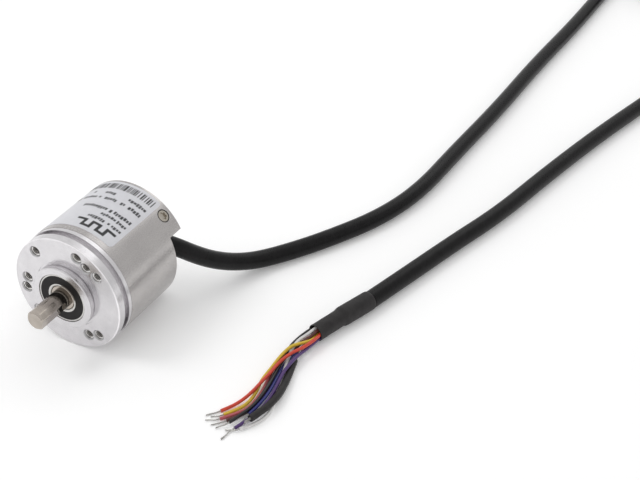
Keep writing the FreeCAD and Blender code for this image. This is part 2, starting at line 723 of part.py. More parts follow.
def make_wave_spring():
    """The wavy washer between the bearings, three waves round."""
    inner, outer, thick, waves, steps = 7.25, 7.9, 0.3, 3, 48
    middle = (size("spring_front") + size("rear_bearing_front")) / 2
    rise = (size("rear_bearing_front") - size("spring_front") - thick) / 2

    def edge(radius, offset):
        places = []
        for step in range(steps):
            turn = 2 * math.pi * step / steps
            height = middle + rise * math.cos(waves * turn) + offset
            places.append(V(radius * math.cos(turn), height, radius * math.sin(turn)))
        curve = Part.BSplineCurve()
        curve.interpolate(Points=places, PeriodicFlag=True)
        return curve.toShape()

    low_in, low_out = edge(inner, -thick / 2), edge(outer, -thick / 2)
    high_out, high_in = edge(outer, thick / 2), edge(inner, thick / 2)
    rim = [low_in, low_out, high_out, high_in]
    faces = [Part.makeRuledSurface(rim[i], rim[(i + 1) % 4]) for i in range(4)]
    shell = Part.Shell([f for face in faces for f in face.Faces])
    solid = Part.Solid(shell)
    if solid.Volume < 0:
        solid.reverse()
    spring = doc.addObject("Part::Feature", "Spring")
    spring.Shape = solid
    spring.Placement = FreeCAD.Placement()
    keep(spring, "wave_spring")


def make_bearing(name, front):
    """A ball bearing: two rings, two seals, a cage and its balls."""
    width = size("bearing_width")
    middle = size(front) + width / 2
    chamfer = size("ring_chamfer")

    step = size("seal_step")

    def ring(label, bore, outside, seal_seat, chamfer_outside):
        """One ring, stepped at both ends where the seals sit."""
        body = new_body(label)
        sketch = sketch_on(body, "XY_Plane")
        near, far, seat = size(bore), size(outside), size(seal_seat)
        low, high = size(front), size(front) + width
        if chamfer_outside:
            corners = [(seat, low), (far - chamfer, low), (far, low + chamfer),
                       (far, high - chamfer), (far - chamfer, high), (seat, high),
                       (seat, high - step), (near, high - step), (near, low + step),
                       (seat, low + step)]
        else:
            corners = [(near + chamfer, low), (seat, low), (seat, low + step),
                       (far, low + step), (far, high - step), (seat, high - step),
                       (seat, high), (near + chamfer, high), (near, high - chamfer),
                       (near, low + chamfer)]
        places = [V(a, b, 0) for a, b in corners]
        count = len(places)
        for i in range(count):
            sketch.addGeometry(Part.LineSegment(places[i], places[(i + 1) % count]), False)
        for i in range(count):
            sketch.addConstraint(Sketcher.Constraint("Coincident", i, 2, (i + 1) % count, 1))
        feature = body.newObject("PartDesign::Revolution", "Ring")
        feature.Profile = sketch
        feature.ReferenceAxis = (sketch, ["V_Axis"])
        feature.Angle = 360.0
        doc.recompute()
        before = body.Shape.Volume
        ring_groove(body, "raceway_radius", size("ball_circle_radius"), middle)
        cut_is_real(body, before, "raceway")

    ring(f"{name}_outer_ring", "outer_ring_bore", "bearing_radius",
         "outer_ring_seal_bore", True)
    ring(f"{name}_inner_ring", "seat_radius", "inner_ring_radius",
         "inner_ring_seal_radius", False)

    seals = []
    for side in (size(front) + size("seal_inset"),
                 size(front) + width - size("seal_inset") - size("seal_width")):
        discs = []
        for radius in ("outer_ring_seal_bore", "seal_lip_radius"):
            disc = bind(doc.addObject("Part::Cylinder", "Seal"), Radius=radius,
                        Height="seal_width")
            disc.Placement = FreeCAD.Placement(V(0, side, 0), ALONG_Y)
            discs.append(disc)
        seals.append(cut(discs[0], [discs[1]]))
    keep(group(seals), f"{name}_seals")

    pockets, balls = [], []
    for number in range(int(size("ball_count"))):
        place = FreeCAD.Placement(
            polar(size("ball_circle_radius"), 360 / size("ball_count") * number, middle),
            FreeCAD.Rotation())
        pocket = bind(doc.addObject("Part::Sphere", "Pocket"), Radius="cage_pocket_radius")
        ball = bind(doc.addObject("Part::Sphere", "Ball"), Radius="ball_radius")
        pocket.Placement = place
        ball.Placement = place
        pockets.append(pocket)
        balls.append(ball)
    walls = []
    for radius in ("cage_radius", "cage_bore_radius"):
        wall = bind(doc.addObject("Part::Cylinder", "CageWall"), Radius=radius,
                    Height="cage_width")
        wall.Placement = FreeCAD.Placement(V(0, middle - size("cage_width") / 2, 0), ALONG_Y)
        walls.append(wall)
    keep(cut(walls[0], [walls[1]] + pockets), f"{name}_cage")
    keep(group(balls), f"{name}_balls")


def make_disc_and_hub():
    """The glass code disc on its metal hub, clamped by a grub screw."""
    body = new_body("disc_hub")
    turned(body, [
        ("shaft_radius", "hub_front"), ("hub_radius", "hub_front"),
        ("hub_radius", "hub_flange_front"), ("hub_flange_radius", "hub_flange_front"),
        ("hub_flange_radius", "disc_front"), ("disc_bore_radius", "disc_front"),
        ("disc_bore_radius", "hub_back"), ("shaft_radius", "hub_back"),
    ])
    before = body.Shape.Volume
    line = (size("hub_front") + size("hub_flange_front")) / 2
    sketch = sketch_on(body, "YZ_Plane")
    add_circle(sketch, "grub_screw_radius", line, 0)
    pocket = body.newObject("PartDesign::Pocket", "GrubHole")
    pocket.Profile = sketch
    pocket.Reversed = True
    pocket.setExpression("Length", "Dims.hub_radius + 1")
    cut_is_real(body, before, "grub screw's hole")

    grub = bind(doc.addObject("Part::Cylinder", "Grub"), Radius="grub_screw_radius")
    grub.setExpression("Height", "Dims.hub_radius - Dims.shaft_radius - 0.2")
    grub.Placement = FreeCAD.Placement(V(size("shaft_radius"), line, 0), ALONG_X)
    keep(grub, "hub_set_screw")

    disc = cut(cylinder_y("disc_radius", "disc_front", "disc_back"),
               [cylinder_y("disc_bore_radius", "disc_front", "disc_back")])
    keep(disc, "code_disc")


def make_optics():
    """The emitter on its bracket in front of the disc, and the mask and sensor behind it."""
    turn = size("optics_angle")
    head = block("emitter_block_front", "emitter_block_back", 9.8, 0, 3.2, 5.2, turn)
    leg = block("plate_back", "emitter_block_back", 12.2, 0, 2.4, 4.0, turn)
    keep(fused([head, leg]), "emitter_bracket")

    place = polar(9.6, turn)
    lens = bind(doc.addObject("Part::Cylinder", "Lens"))
    lens.Radius = 1.2
    lens.Height = 0.5
    lens.Placement = FreeCAD.Placement(V(place.x, size("emitter_block_back"), place.z), ALONG_Y)
    keep(lens, "emitter_led")

    leads = []
    for side in (-1.2, 1.2):
        about = FreeCAD.Rotation(V(0, 1, 0), -turn)
        place = about.multVec(V(12.6, 0, side))
        leads.append(cylinder_y("lead_radius", "emitter_block_back", "board_front",
                                place.x, place.z))
    keep(group(leads), "led_pins")
    keep(block("hub_back", "mask_back", 9.6, 0, 3.6, 4.8, turn), "sensor_mask")
    keep(block("mask_back", "board_front", 9.6, 0, 4.8, 6.0, turn), "sensor_chip")


def make_board():
    """The round circuit board on three posts, its screws and what is soldered to it."""
    posts, screws, holes = [], [], []
    for number in range(3):
        place = polar(size("standoff_circle_radius"), size("first_standoff_angle") + 120 * number)
        x, z = place.x, place.z
        posts.append(cut(cylinder_y("standoff_radius", "plate_back", "board_front", x, z),
                         [cylinder_y("standoff_bore", "standoff_bore_front", "board_front",
                                     x, z)]))
        shank = cylinder_y("board_screw_shank", "standoff_bore_front", "board_back", x, z)
        head = bind(doc.addObject("Part::Cylinder", "Head"), Radius="board_screw_head",
                    Height="board_screw_head_height")
        head.Placement = FreeCAD.Placement(V(x, size("board_back"), z), ALONG_Y)
        screws.append(fused([shank, head]))
        holes.append(cylinder_y("board_hole_radius", "board_front", "board_back", x, z))
    keep(group(posts), "board_standoffs")
    keep(cut(cylinder_y("board_radius", "board_front", "board_back"), holes), "circuit_board")
    keep(group(screws), "board_screws")
    keep(on_board(-6.0, -4.0, 6.0, 6.0, 0.9), "processor_chip")
    capacitors = [on_board(x, z, 2.0, 1.2, 1.0) for x, z in ((-6, 2.5), (-6, 4.5), (-9.5, 3.5),
                                                             (6, -7), (1, -9))]
    keep(group(capacitors), "capacitors")
    keep(on_board(0.0, size("outlet_height"), 5.0, 11.0, 2.8), "board_connector")


def on_board(x, z, width, height, deep):
    """A box-shaped component on the board's rear side."""
    box = doc.addObject("Part::Box", "Component")
    box.Length, box.Width, box.Height = width, deep, height
    box.Placement = FreeCAD.Placement(V(x - width / 2, size("board_back"), z - height / 2),
                                      FreeCAD.Rotation())
    return box


def make_cable_cores():
    """The cable's eight insulated cores, fanned from the outlet to the board's connector."""
    cores = []
    for number in range(8):
        step = number - 3.5
        start = V(8.4, 29.7 + 1.2 * (number % 2), size("outlet_height") + 0.5 * step)
        end = V(2.4, 26.8, size("outlet_height") + size("core_pitch") * step)
        run = end - start
        cores.append(Part.makeCylinder(size("core_radius"), run.Length, start, run))
    feature = doc.addObject("Part::Feature", "Cores")
    feature.Shape = Part.Compound(cores)
    feature.Placement = FreeCAD.Placement()
    keep(feature, "inner_cores")


def make_gland():
    """The rubber grommet in the notch, with a neck through the cap's wall."""
    width = size("gland_face") - size("notch_floor")
    height = 2 * size("gland_half_height")
    pad = block("notch_front", "gland_back", size("notch_floor") + width / 2,
                size("outlet_height"), width, height)
    doc.recompute()
    outer = [i for i, edge in enumerate(pad.Shape.Edges, start=1)
             if edge.BoundBox.XMin > size("notch_floor") + width / 2]
    rounded = doc.addObject("Part::Fillet", "Rounded")
    rounded.Base = pad
    rounded.Edges = [(i, 1.0, 1.0) for i in outer]
    neck = along_x("core_hole_radius", size("notch_wall_inside") - 0.2, size("notch_floor") + 0.5)
    keep(fused([rounded, neck]), "cable_gland")


def make_cable():
    """The cable's two runs and the coil between them, as one round-cornered ring."""
    radius = size("cable_diameter") / 2
    tube("cable_near", CABLE_FROM_GLAND, radius)
    middle, turns = size("coil_middle_radius"), size("coil_turns_across")
    half = turns * radius
    centre = V(size("coil_centre_x"), size("coil_centre_y"), size("floor"))
    outer = Part.makeCylinder(middle + half, size("coil_height"), centre)
    inner = Part.makeCylinder(middle - half, size("coil_height"), centre)
    ring = outer.cut(inner)
    circles = [edge for edge in ring.Edges if isinstance(edge.Curve, Part.Circle)]
    coil = doc.addObject("Part::Feature", "Coil")
    coil.Shape = ring.makeFillet(radius * 0.9, circles)
    coil.Placement = FreeCAD.Placement()
    keep(coil, "cable_coil")
    tube("cable_far", CABLE_FROM_COIL, radius)


def make_coil_tie():
    """The band that holds the coil together."""
    thick, width = size("tie_thickness"), size("tie_width")
    half = size("coil_turns_across") * size("cable_diameter") / 2
    height = size("coil_height")
    loops = []
    for grow in (thick, 0.0):
        box = doc.addObject("Part::Box", "Loop")
        box.Length = 2 * (half + grow)
        box.setExpression("Width", "Dims.tie_width")
        low = thick if grow == 0.0 else 0.0
        box.Height = height + grow - low
        about = FreeCAD.Placement(
            V(size("coil_centre_x"), size("coil_centre_y"), size("floor")),
            FreeCAD.Rotation(V(0, 0, 1), size("tie_angle")))
        box.Placement = about.multiply(FreeCAD.Placement(
            V(size("coil_middle_radius") - half - grow, -width / 2, low), FreeCAD.Rotation()))
        loops.append(box)
    keep(cut(loops[0], [loops[1]]), "coil_tie")


def make_shrink_sleeve():
    """The shrink sleeve on the cable's end, narrowing to the mouth the wires come out of."""
    wide_end, shoulder, mouth = (V(*p) for p in SHRINK_LINE)
    wide, narrow = size("shrink_wide_radius"), size("shrink_narrow_radius")
    first, second = shoulder - wide_end, mouth - shoulder
    sections = [
        (wide, wide_end, first), (wide, wide_end + first * 0.5, first),
        (wide, wide_end + first * 0.9, first + second * 0.1),
        (narrow, shoulder + second * 0.12, first * 0.1 + second),
        (narrow, shoulder + second * 0.5, second), (narrow, mouth, second),
    ]
    rings = [Part.Wire([Part.makeCircle(radius, place, line)])
             for radius, place, line in sections]
    solid = Part.makeLoft(rings, True, True)
    depth = second * (size("shrink_mouth_depth") / second.Length)
    pocket = Part.makeCylinder(size("shrink_bore_radius"), depth.Length + 1, mouth - depth, second)
    feature = doc.addObject("Part::Feature", "Shrink")
    feature.Shape = solid.cut(pocket)
    feature.Placement = FreeCAD.Placement()
    keep(feature, "heat_shrink_sleeve")


def make_wires():
    """The loose wires at the cable's end and their stripped tips."""
    radius = size("wire_radius")
    for label, points in WIRES.items():
        tube(label, points, radius)
    tube("drain_wire", DRAIN_WIRE, radius)
    tube("drain_wire_sleeve", DRAIN_SLEEVE, size("drain_sleeve_radius"))
    tips = []
    for label, end in WIRE_TIPS.items():
        start = V(*WIRES[label][-1])
        run = V(*end) - start
        tips.append(Part.makeCylinder(size("wire_tip_radius"), run.Length, start, run))
    feature = doc.addObject("Part::Feature", "Tips")
    feature.Shape = Part.Compound(tips)
    feature.Placement = FreeCAD.Placement()
    keep(feature, "wire_tips")


make_flange()
make_housing_sleeve()
make_rear_cap()
make_cap_screws()
make_seal()
make_label()
make_shaft()
make_retaining_ring()
make_wave_spring()
make_bearing("front_bearing", "bearing_front")
make_bearing("rear_bearing", "rear_bearing_front")
make_disc_and_hub()
make_optics()
make_board()
make_cable_cores()
make_gland()
make_cable()
make_coil_tie()
make_shrink_sleeve()
make_wires()
doc.recompute()

for thing in doc.Objects:
    if "Invalid" in thing.State or "Error" in thing.State:
        raise RuntimeError(f"{thing.Label} failed: {thing.State}")
for thing in nodes:
    if thing.Shape.isNull() or not thing.Shape.isValid() or thing.Shape.Volume <= 0:
        raise RuntimeError(f"{thing.Label} has no valid solid")

os.makedirs("parts", exist_ok=True)
for thing in nodes:
    thing.Shape.exportStep(f"parts/{thing.Label}.step")
print(len(nodes), "sub-parts written")
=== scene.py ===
import bpy
import math
import random
from mathutils import Matrix, Vector


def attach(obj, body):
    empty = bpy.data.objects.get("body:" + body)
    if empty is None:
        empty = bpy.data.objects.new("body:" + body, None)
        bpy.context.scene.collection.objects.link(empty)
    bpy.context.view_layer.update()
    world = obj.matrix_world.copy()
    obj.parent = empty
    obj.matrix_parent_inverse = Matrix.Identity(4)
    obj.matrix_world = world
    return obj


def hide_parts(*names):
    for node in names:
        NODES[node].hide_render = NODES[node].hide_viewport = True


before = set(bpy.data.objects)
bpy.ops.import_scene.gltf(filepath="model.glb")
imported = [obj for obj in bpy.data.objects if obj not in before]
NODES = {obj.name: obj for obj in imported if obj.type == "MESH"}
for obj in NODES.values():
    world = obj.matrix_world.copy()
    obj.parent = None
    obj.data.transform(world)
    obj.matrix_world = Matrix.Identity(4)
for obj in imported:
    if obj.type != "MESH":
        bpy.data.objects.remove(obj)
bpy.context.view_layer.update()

MM = 0.001
BODY = "encoder_body"
ROTOR = "rotor"
FLOOR_Z = -18.5
HOUSING_RADIUS = 18.5
rng = random.Random(37)
bpy.context.scene.view_settings.view_transform = "Standard"


# ---------------------------------------------------------------- camera
CAMERA_PLACE = (212.08, -234.40, 236.87)
CAMERA_RIGHT = (0.8750, 0.4841, 0.0)
CAMERA_BACK = (0.3950, -0.7140, 0.5781)      # from what it looks at, towards the camera
CAMERA_LENS = 76.64


def make_camera():
    """The camera, which looks from the front right and above."""
    back = Vector(CAMERA_BACK).normalized()
    up = back.cross(Vector(CAMERA_RIGHT).normalized()).normalized()
    right = up.cross(back).normalized()
    data = bpy.data.cameras.new("camera")
    data.sensor_width = 36.0
    data.lens = CAMERA_LENS
    data.clip_start = 0.01
    data.clip_end = 20.0
    camera = bpy.data.objects.new("camera", data)
    place = Matrix((right, up, back)).transposed().to_4x4()
    place.translation = Vector(CAMERA_PLACE) * MM
    camera.matrix_world = place
    bpy.context.scene.collection.objects.link(camera)
    bpy.context.scene.camera = camera


# ---------------------------------------------------------------- cords
CABLE_FROM_GLAND = [
    (13.0, 31.3, 2.6), (15.6, 33.2, 1.0), (18.4, 37.7, -3.5), (21.3, 43.1, -8.0),
    (24.4, 49.7, -12.0), (28.1, 57.4, -14.9), (33.8, 66.8, -15.7), (41.0, 78.6, -15.7),
    (50.6, 98.2, -15.7), (55.2, 119.5, -15.7), (55.4, 147.0, -15.7), (56.5, 182.0, -15.7),
    (56.0, 222.0, -15.7), (57.2, 262.0, -15.7), (56.8, 298.0, -15.7), (57.4, 321.0, -15.7),
]
CABLE_FROM_COIL = [
    (128.4, 318.4, -12.2), (122.3, 292.0, -15.7), (114.1, 262.0, -15.7), (107.8, 233.0, -15.7),
    (100.5, 204.0, -15.7), (94.5, 178.0, -15.7), (88.8, 148.5, -15.7), (84.0, 119.5, -15.7),
    (77.7, 96.5, -15.7), (72.4, 75.0, -15.7), (68.0, 57.0, -15.5),
]
SHRINK_LINE = [(68.0, 57.0, -15.4), (64.2, 45.3, -15.4), (61.2, 35.6, -15.6)]
WIRES = {
    "wire_black": [
        (61.2, 39.5, -14.3), (60.5, 37.9, -14.7), (59.4, 36.2, -15.2), (58.1, 32.5, -15.7),
        (57.3, 28.6, -16.3), (57.5, 24.0, -16.7), (58.7, 18.3, -16.8), (59.9, 12.2, -16.8),
        (60.7, 6.6, -16.6), (60.9, 1.5, -16.7), (59.8, -3.5, -16.9), (58.3, -7.3, -17.3),
    ],
    "wire_white": [
        (62.2, 39.3, -13.8), (61.1, 37.4, -14.2), (60.1, 33.3, -14.7), (58.5, 30.1, -15.4),
        (58.3, 26.1, -16.4), (60.3, 19.5, -17.2), (62.2, 13.1, -17.7), (63.9, 7.0, -18.0),
        (65.8, 1.9, -18.0), (64.8, -3.8, -17.9), (61.9, -7.8, -17.8),
    ],
    "wire_brown": [
        (63.3, 39.0, -14.0), (62.1, 36.9, -14.3), (61.1, 32.5, -15.0), (59.6, 30.5, -16.1),
        (58.4, 28.2, -17.2), (57.4, 23.9, -17.8), (58.5, 17.3, -18.0), (59.9, 11.1, -17.9),
        (60.7, 5.5, -17.8), (60.5, 0.3, -17.8), (58.9, -3.6, -17.9), (56.9, -6.5, -18.0),
    ],
    "wire_yellow": [
        (62.2, 39.4, -16.0), (61.6, 37.2, -15.9), (62.2, 32.6, -15.6), (60.5, 29.5, -15.2),
        (58.2, 26.8, -15.1), (57.5, 21.9, -15.5), (57.4, 16.4, -16.4), (57.1, 11.5, -17.2),
        (58.1, 7.3, -17.8), (58.4, 1.8, -18.0), (56.6, -2.2, -18.0), (54.9, -4.8, -18.0),
    ],
    "wire_red": [
        (63.2, 39.0, -15.8), (62.9, 36.7, -15.4), (62.9, 32.5, -15.0), (61.8, 27.8, -15.0),
        (59.5, 23.4, -15.2), (58.5, 18.8, -15.6), (58.5, 14.0, -15.9), (58.0, 10.3, -16.3),
        (57.7, 6.5, -16.8), (56.8, 2.2, -17.3), (55.3, -1.2, -17.7), (53.4, -3.9, -18.0),
    ],
    "wire_violet": [
        (63.4, 39.1, -16.9), (62.8, 36.6, -16.8), (62.2, 29.0, -16.3), (61.5, 24.1, -15.8),
        (61.5, 20.0, -15.7), (61.5, 16.2, -16.0), (62.1, 13.0, -16.4), (62.7, 9.5, -16.9),
        (63.1, 5.4, -17.3), (62.9, 0.6, -17.7), (62.0, -3.1, -17.9), (60.4, -7.9, -18.0),
    ],
    "wire_blue": [
        (62.4, 39.4, -17.2), (61.6, 37.1, -17.4), (59.9, 31.6, -17.7), (59.1, 26.7, -17.9),
        (58.9, 22.2, -17.9), (59.5, 18.0, -17.8), (60.4, 13.9, -17.6), (61.4, 9.2, -17.4),
        (61.7, 4.6, -17.3), (61.6, 1.1, -17.3), (61.2, -1.8, -17.4),
    ],
    "wire_pink": [
        (61.4, 39.8, -16.8), (60.6, 37.5, -17.0), (59.3, 33.7, -17.2), (57.7, 29.0, -17.6),
        (56.3, 25.2, -17.8), (56.7, 19.7, -17.9), (58.1, 13.5, -18.0), (59.1, 9.5, -18.0),
        (59.6, 5.2, -18.0), (59.6, 1.1, -18.0), (58.1, -2.6, -18.0), (54.9, -6.7, -18.0),
    ],
}
DRAIN_WIRE = [
    (61.1, 39.6, -15.4), (60.5, 37.2, -16.0), (60.4, 29.7, -17.0), (60.9, 23.8, -17.4),
]
DRAIN_SLEEVE = [
    (60.9, 23.8, -17.4), (62.3, 18.6, -17.4), (63.5, 14.3, -17.2), (64.6, 9.4, -16.8),
    (65.0, 5.0, -16.4), (64.5, 1.1, -16.3), (63.8, -1.7, -16.2), (63.2, -4.5, -16.1),
]
WIRE_TIPS = {
    "wire_black": (55.7, -10.2, -18.1),
    "wire_white": (58.4, -9.6, -18.2),
    "wire_brown": (54.0, -9.8, -18.2),
    "wire_yellow": (52.2, -7.0, -18.2),
    "wire_red": (50.6, -7.2, -18.2),
    "wire_violet": (59.4, -13.1, -18.2),
    "wire_blue": (61.0, -5.3, -17.9),
    "wire_pink": (51.6, -8.8, -18.2),
}
CABLE_D = 5.6
WIRE_D = 1.0
DRAIN_D = 0.92

COIL_CENTRE = (94.6, 337.0)
COIL_TURNS = 4.538
COIL_POINTS_PER_TURN = 16
COIL_OUTER = 37.0        # the first turn's radius
COIL_INNER = 25.8        # the radius after two turns inwards
COIL_LOW = -15.7         # the cable's middle on the floor
COIL_CLIMB = 5.0         # how far the cable rises onto the lower turns
COIL_NEST = 3.1          # the furthest that a turn lies beside the one below it
COIL_CUT_IN = 0.981      # how far inside its points the spline runs


def coil_points():
    """The put-away turns: two inwards turns on the floor, then two outwards ones on top."""
    points = []
    for step in range(1, int(COIL_TURNS * COIL_POINTS_PER_TURN) + 1):
        t = step / COIL_POINTS_PER_TURN
        if t <= 2.0:
            radius, height = COIL_OUTER - CABLE_D * t, COIL_LOW
        elif t < 2.5:
            radius = COIL_INNER
            ease = (t - 2.0) / 0.5
            height = COIL_LOW + COIL_CLIMB * ease * ease * (3 - 2 * ease)
        else:
            radius = COIL_INNER + CABLE_D * (t - 2.5)
            aside = min(abs(COIL_OUTER - CABLE_D * (t % 1.0 + n) - radius) for n in range(3))
            height = COIL_LOW + math.sqrt(CABLE_D ** 2 - min(aside, COIL_NEST) ** 2)
        angle = math.pi - 2 * math.pi * t
        radius /= COIL_CUT_IN
        points.append((COIL_CENTRE[0] + radius * math.cos(angle),
                       COIL_CENTRE[1] + radius * math.sin(angle), height))
    return points


def cord_curve(name, points, radius, material, resolution, round_steps):
    """A smooth round cord along its route's control points."""
    data = bpy.data.curves.new(name, "CURVE")
    data.dimensions = "3D"
    data.bevel_depth = radius * MM
    data.bevel_resolution = round_steps
    data.use_fill_caps = True
    data.resolution_u = resolution
    spline = data.splines.new("NURBS")
    spline.points.add(len(points) - 1)
    for point, place in zip(spline.points, points):
        point.co = (place[0] * MM, place[1] * MM, place[2] * MM, 1.0)
    spline.order_u = 3
    spline.use_endpoint_u = True
    spline.use_smooth = True
    data.materials.append(material)
    cord = bpy.data.objects.new(name, data)
    bpy.context.scene.collection.objects.link(cord)
    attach(cord, BODY)
    return cord


# ---------------------------------------------------------------- materials
class Shader:
    """A material with helpers for its nodes."""

    def __init__(self, name, **sockets):
        self.material = bpy.data.materials.new(name)
        self.material.use_nodes = True
        self.tree = self.material.node_tree
        self.shader = self.tree.nodes["Principled BSDF"]
        self.set(**sockets)

    def set(self, **sockets):
        """Values that are the same all over the surface."""
        for name, value in sockets.items():
            socket = self.shader.inputs[name.replace("_", " ")]
            socket.default_value = (*value, 1.0) if isinstance(value, tuple) else value

    def node(self, kind, **settings):
        node = self.tree.nodes.new(kind)
        for name, value in settings.items():
            setattr(node, name, value)
        return node

    def link(self, output, target):
        self.tree.links.new(output, target)

    def place(self, stretch=(1, 1, 1)):
        """Object coordinates in millimetres, stretched."""
        coords = self.node("ShaderNodeTexCoord")
        mapping = self.node("ShaderNodeMapping")
        mapping.inputs["Scale"].default_value = [1000 * s for s in stretch]
        self.link(coords.outputs["Object"], mapping.inputs["Vector"])
        return mapping.outputs["Vector"]

    def turned(self, marks):
        """Distance from the shaft's axis and place along it, scaled, for patterns that run
        round the axis."""
        radius, along, _ = self.around()
        joined = self.node("ShaderNodeCombineXYZ")
        self.link(self.maths("MULTIPLY", radius, marks), joined.inputs["X"])
        self.link(self.maths("MULTIPLY", along, marks), joined.inputs["Y"])
        return joined.outputs[0]

    def around(self):
        """Distance from the shaft's axis, place along it and angle round it from +X."""
        split = self.node("ShaderNodeSeparateXYZ")
        self.link(self.place(), split.inputs[0])
        flat = self.node("ShaderNodeCombineXYZ")
        self.link(split.outputs["X"], flat.inputs["X"])
        self.link(split.outputs["Z"], flat.inputs["Y"])
        length = self.node("ShaderNodeVectorMath", operation="LENGTH")
        self.link(flat.outputs[0], length.inputs[0])
        angle = self.maths("ARCTAN2", split.outputs["Z"], split.outputs["X"])
        return length.outputs["Value"], split.outputs["Y"], angle

    def maths(self, operation, first, second):
        """Arithmetic on two patterns, or on a pattern and a number."""
        node = self.node("ShaderNodeMath", operation=operation)
        for socket, value in zip(node.inputs, (first, second)):
            if isinstance(value, (int, float)):
                socket.default_value = value
            else:
                self.link(value, socket)
        return node.outputs[0]

    def paint_light_and_shade(self, factor):
        """The base colour made lighter or darker from place to place, to paint light and shade on
        it.
        """
        colour = self.shader.inputs["Base Color"].links[0].from_socket
        scaled = self.node("ShaderNodeVectorMath", operation="SCALE")
        self.link(colour, scaled.inputs[0])
        self.link(factor, scaled.inputs["Scale"])
        self.link(scaled.outputs[0], self.shader.inputs["Base Color"])

    def noise(self, vector, scale, detail=3.0, roughness=0.55):
        noise = self.node("ShaderNodeTexNoise")
        noise.inputs["Scale"].default_value = scale
        noise.inputs["Detail"].default_value = detail
        noise.inputs["Roughness"].default_value = roughness
        self.link(vector, noise.inputs["Vector"])
        return noise.outputs["Fac"]

    def span(self, value, low, high, from_low=0.3, from_high=0.7):
        """Maps a pattern to a range."""
        node = self.node("ShaderNodeMapRange")
        node.inputs["From Min"].default_value = from_low
        node.inputs["From Max"].default_value = from_high
        node.inputs["To Min"].default_value = low
        node.inputs["To Max"].default_value = high
        self.link(value, node.inputs["Value"])
        return node.outputs["Result"]

    def tint(self, value, dark, light, from_low=0.3, from_high=0.7):
        """A colour between two, by a pattern, on the base colour."""
        ramp = self.node("ShaderNodeValToRGB")
        ramp.color_ramp.elements[0].position = from_low
        ramp.color_ramp.elements[0].color = (*dark, 1)
        ramp.color_ramp.elements[1].position = from_high
        ramp.color_ramp.elements[1].color = (*light, 1)
        self.link(value, ramp.inputs["Fac"])
        self.link(ramp.outputs["Color"], self.shader.inputs["Base Color"])

    def rough(self, value, low, high):
        self.link(self.span(value, low, high), self.shader.inputs["Roughness"])

    def bump(self, value, depth):
        """Relief, with its depth in millimetres."""
        bump = self.node("ShaderNodeBump")
        bump.inputs["Strength"].default_value = 1.0
        bump.inputs["Distance"].default_value = depth * MM
        self.link(value, bump.inputs["Height"])
        self.link(bump.outputs["Normal"], self.shader.inputs["Normal"])

    def spun(self, amount):
        """A highlight stretched across the turning marks."""
        tangent = self.node("ShaderNodeTangent", direction_type="RADIAL", axis="Y")
        self.link(tangent.outputs["Tangent"], self.shader.inputs["Tangent"])
        self.set(Anisotropic=amount)


def turned_metal(name, dark, light, low, high, marks=5.0, depth=0.004, spin=0.5, painted_light=None):
    """Lathe-turned metal: fine rings on faces and rounds, with some wear in the gloss."""
    s = Shader(name, Metallic=1.0)
    rings = s.noise(s.turned(marks), 1.0, 4.0, 0.7)
    cloud = s.noise(s.place(), 0.35, 3.0)
    s.tint(cloud, dark, light)
    s.rough(rings, low, high)
    s.bump(rings, depth)
    if spin:
        s.spun(spin)
    # Painted light and shade on the base colour, for the parts that are given it.
    if painted_light:
        s.paint_light_and_shade(painted_light(s))
    return s.material


def flange_painted_light(s):
    """Painted light on the flange: a painted highlight on its chamfer, painted shade on its rim
    and a fan of painted shade on its face.
    """
    chamfer_start, chamfer_back, rim_start, rim_back = 17.96, 0.31, 18.46, 3.2
    # How deep the painted shade on the fan and rim goes, and how much the chamfer's painted
    # highlight brightens it.
    fan_middle, fan_shade_depth, rim_shade_depth, chamfer_highlight_gain = 0.50, 0.17, 0.27, 0.36
    radius, along, angle = s.around()
    front = s.maths("MULTIPLY", s.maths("GREATER_THAN", along, -0.05),
                    s.maths("LESS_THAN", along, chamfer_back))
    # The rim behind the chamfer, darkened with painted shade.
    rim = s.maths("MULTIPLY", s.maths("GREATER_THAN", radius, rim_start),
                  s.maths("MULTIPLY", s.maths("GREATER_THAN", along, chamfer_back),
                          s.maths("LESS_THAN", along, rim_back)))
    # The chamfer, brightened as a painted highlight.
    edge = s.maths("MULTIPLY", s.maths("GREATER_THAN", radius, chamfer_start), front)
    # A fan on the face, darkened with painted shade where the collar's shadow and reflection
    # fall.
    off = s.maths("ABSOLUTE", s.maths("SUBTRACT", angle, fan_middle), 0.0)
    fan_shade = s.maths("MULTIPLY", s.span(off, fan_shade_depth, 0.0, 0.05, 0.45), front)
    painted_light = s.maths("SUBTRACT", 1.0, s.maths("MULTIPLY", rim, rim_shade_depth))
    painted_light = s.maths("SUBTRACT", painted_light, fan_shade)
    return s.maths("ADD", painted_light, s.maths("MULTIPLY", edge, chamfer_highlight_gain))


def shaft_painted_reflection(s):
    """Painted reflection on the shaft: it darkens towards the bearing, as the dark seal's
    reflection would, and its shoulder gets a painted highlight.
    """
    # Where the bright shoulder starts, and how much its painted highlight brightens it.
    shoulder_start, shoulder_highlight_gain = 3.05, 1.12
    radius, along, _ = s.around()
    shoulder = s.maths("GREATER_THAN", radius, shoulder_start)
    return s.maths("MAXIMUM", s.span(along, 1.03, 0.50, -12.0, -3.0),
                   s.maths("MULTIPLY", shoulder, shoulder_highlight_gain))


def grained_metal(name, dark, light, low, high, stretch=(3, 0.5, 3), grain=2.0, depth=0.006):
    """Blasted or drawn metal with a fine grain."""
    s = Shader(name, Metallic=1.0)
    fine = s.noise(s.place(stretch), grain, 5.0, 0.7)
    cloud = s.noise(s.place((1, 0.4, 1)), 0.22, 3.0)
    s.tint(cloud, dark, light)
    s.rough(fine, low, high)
    s.bump(fine, depth)
    return s.material


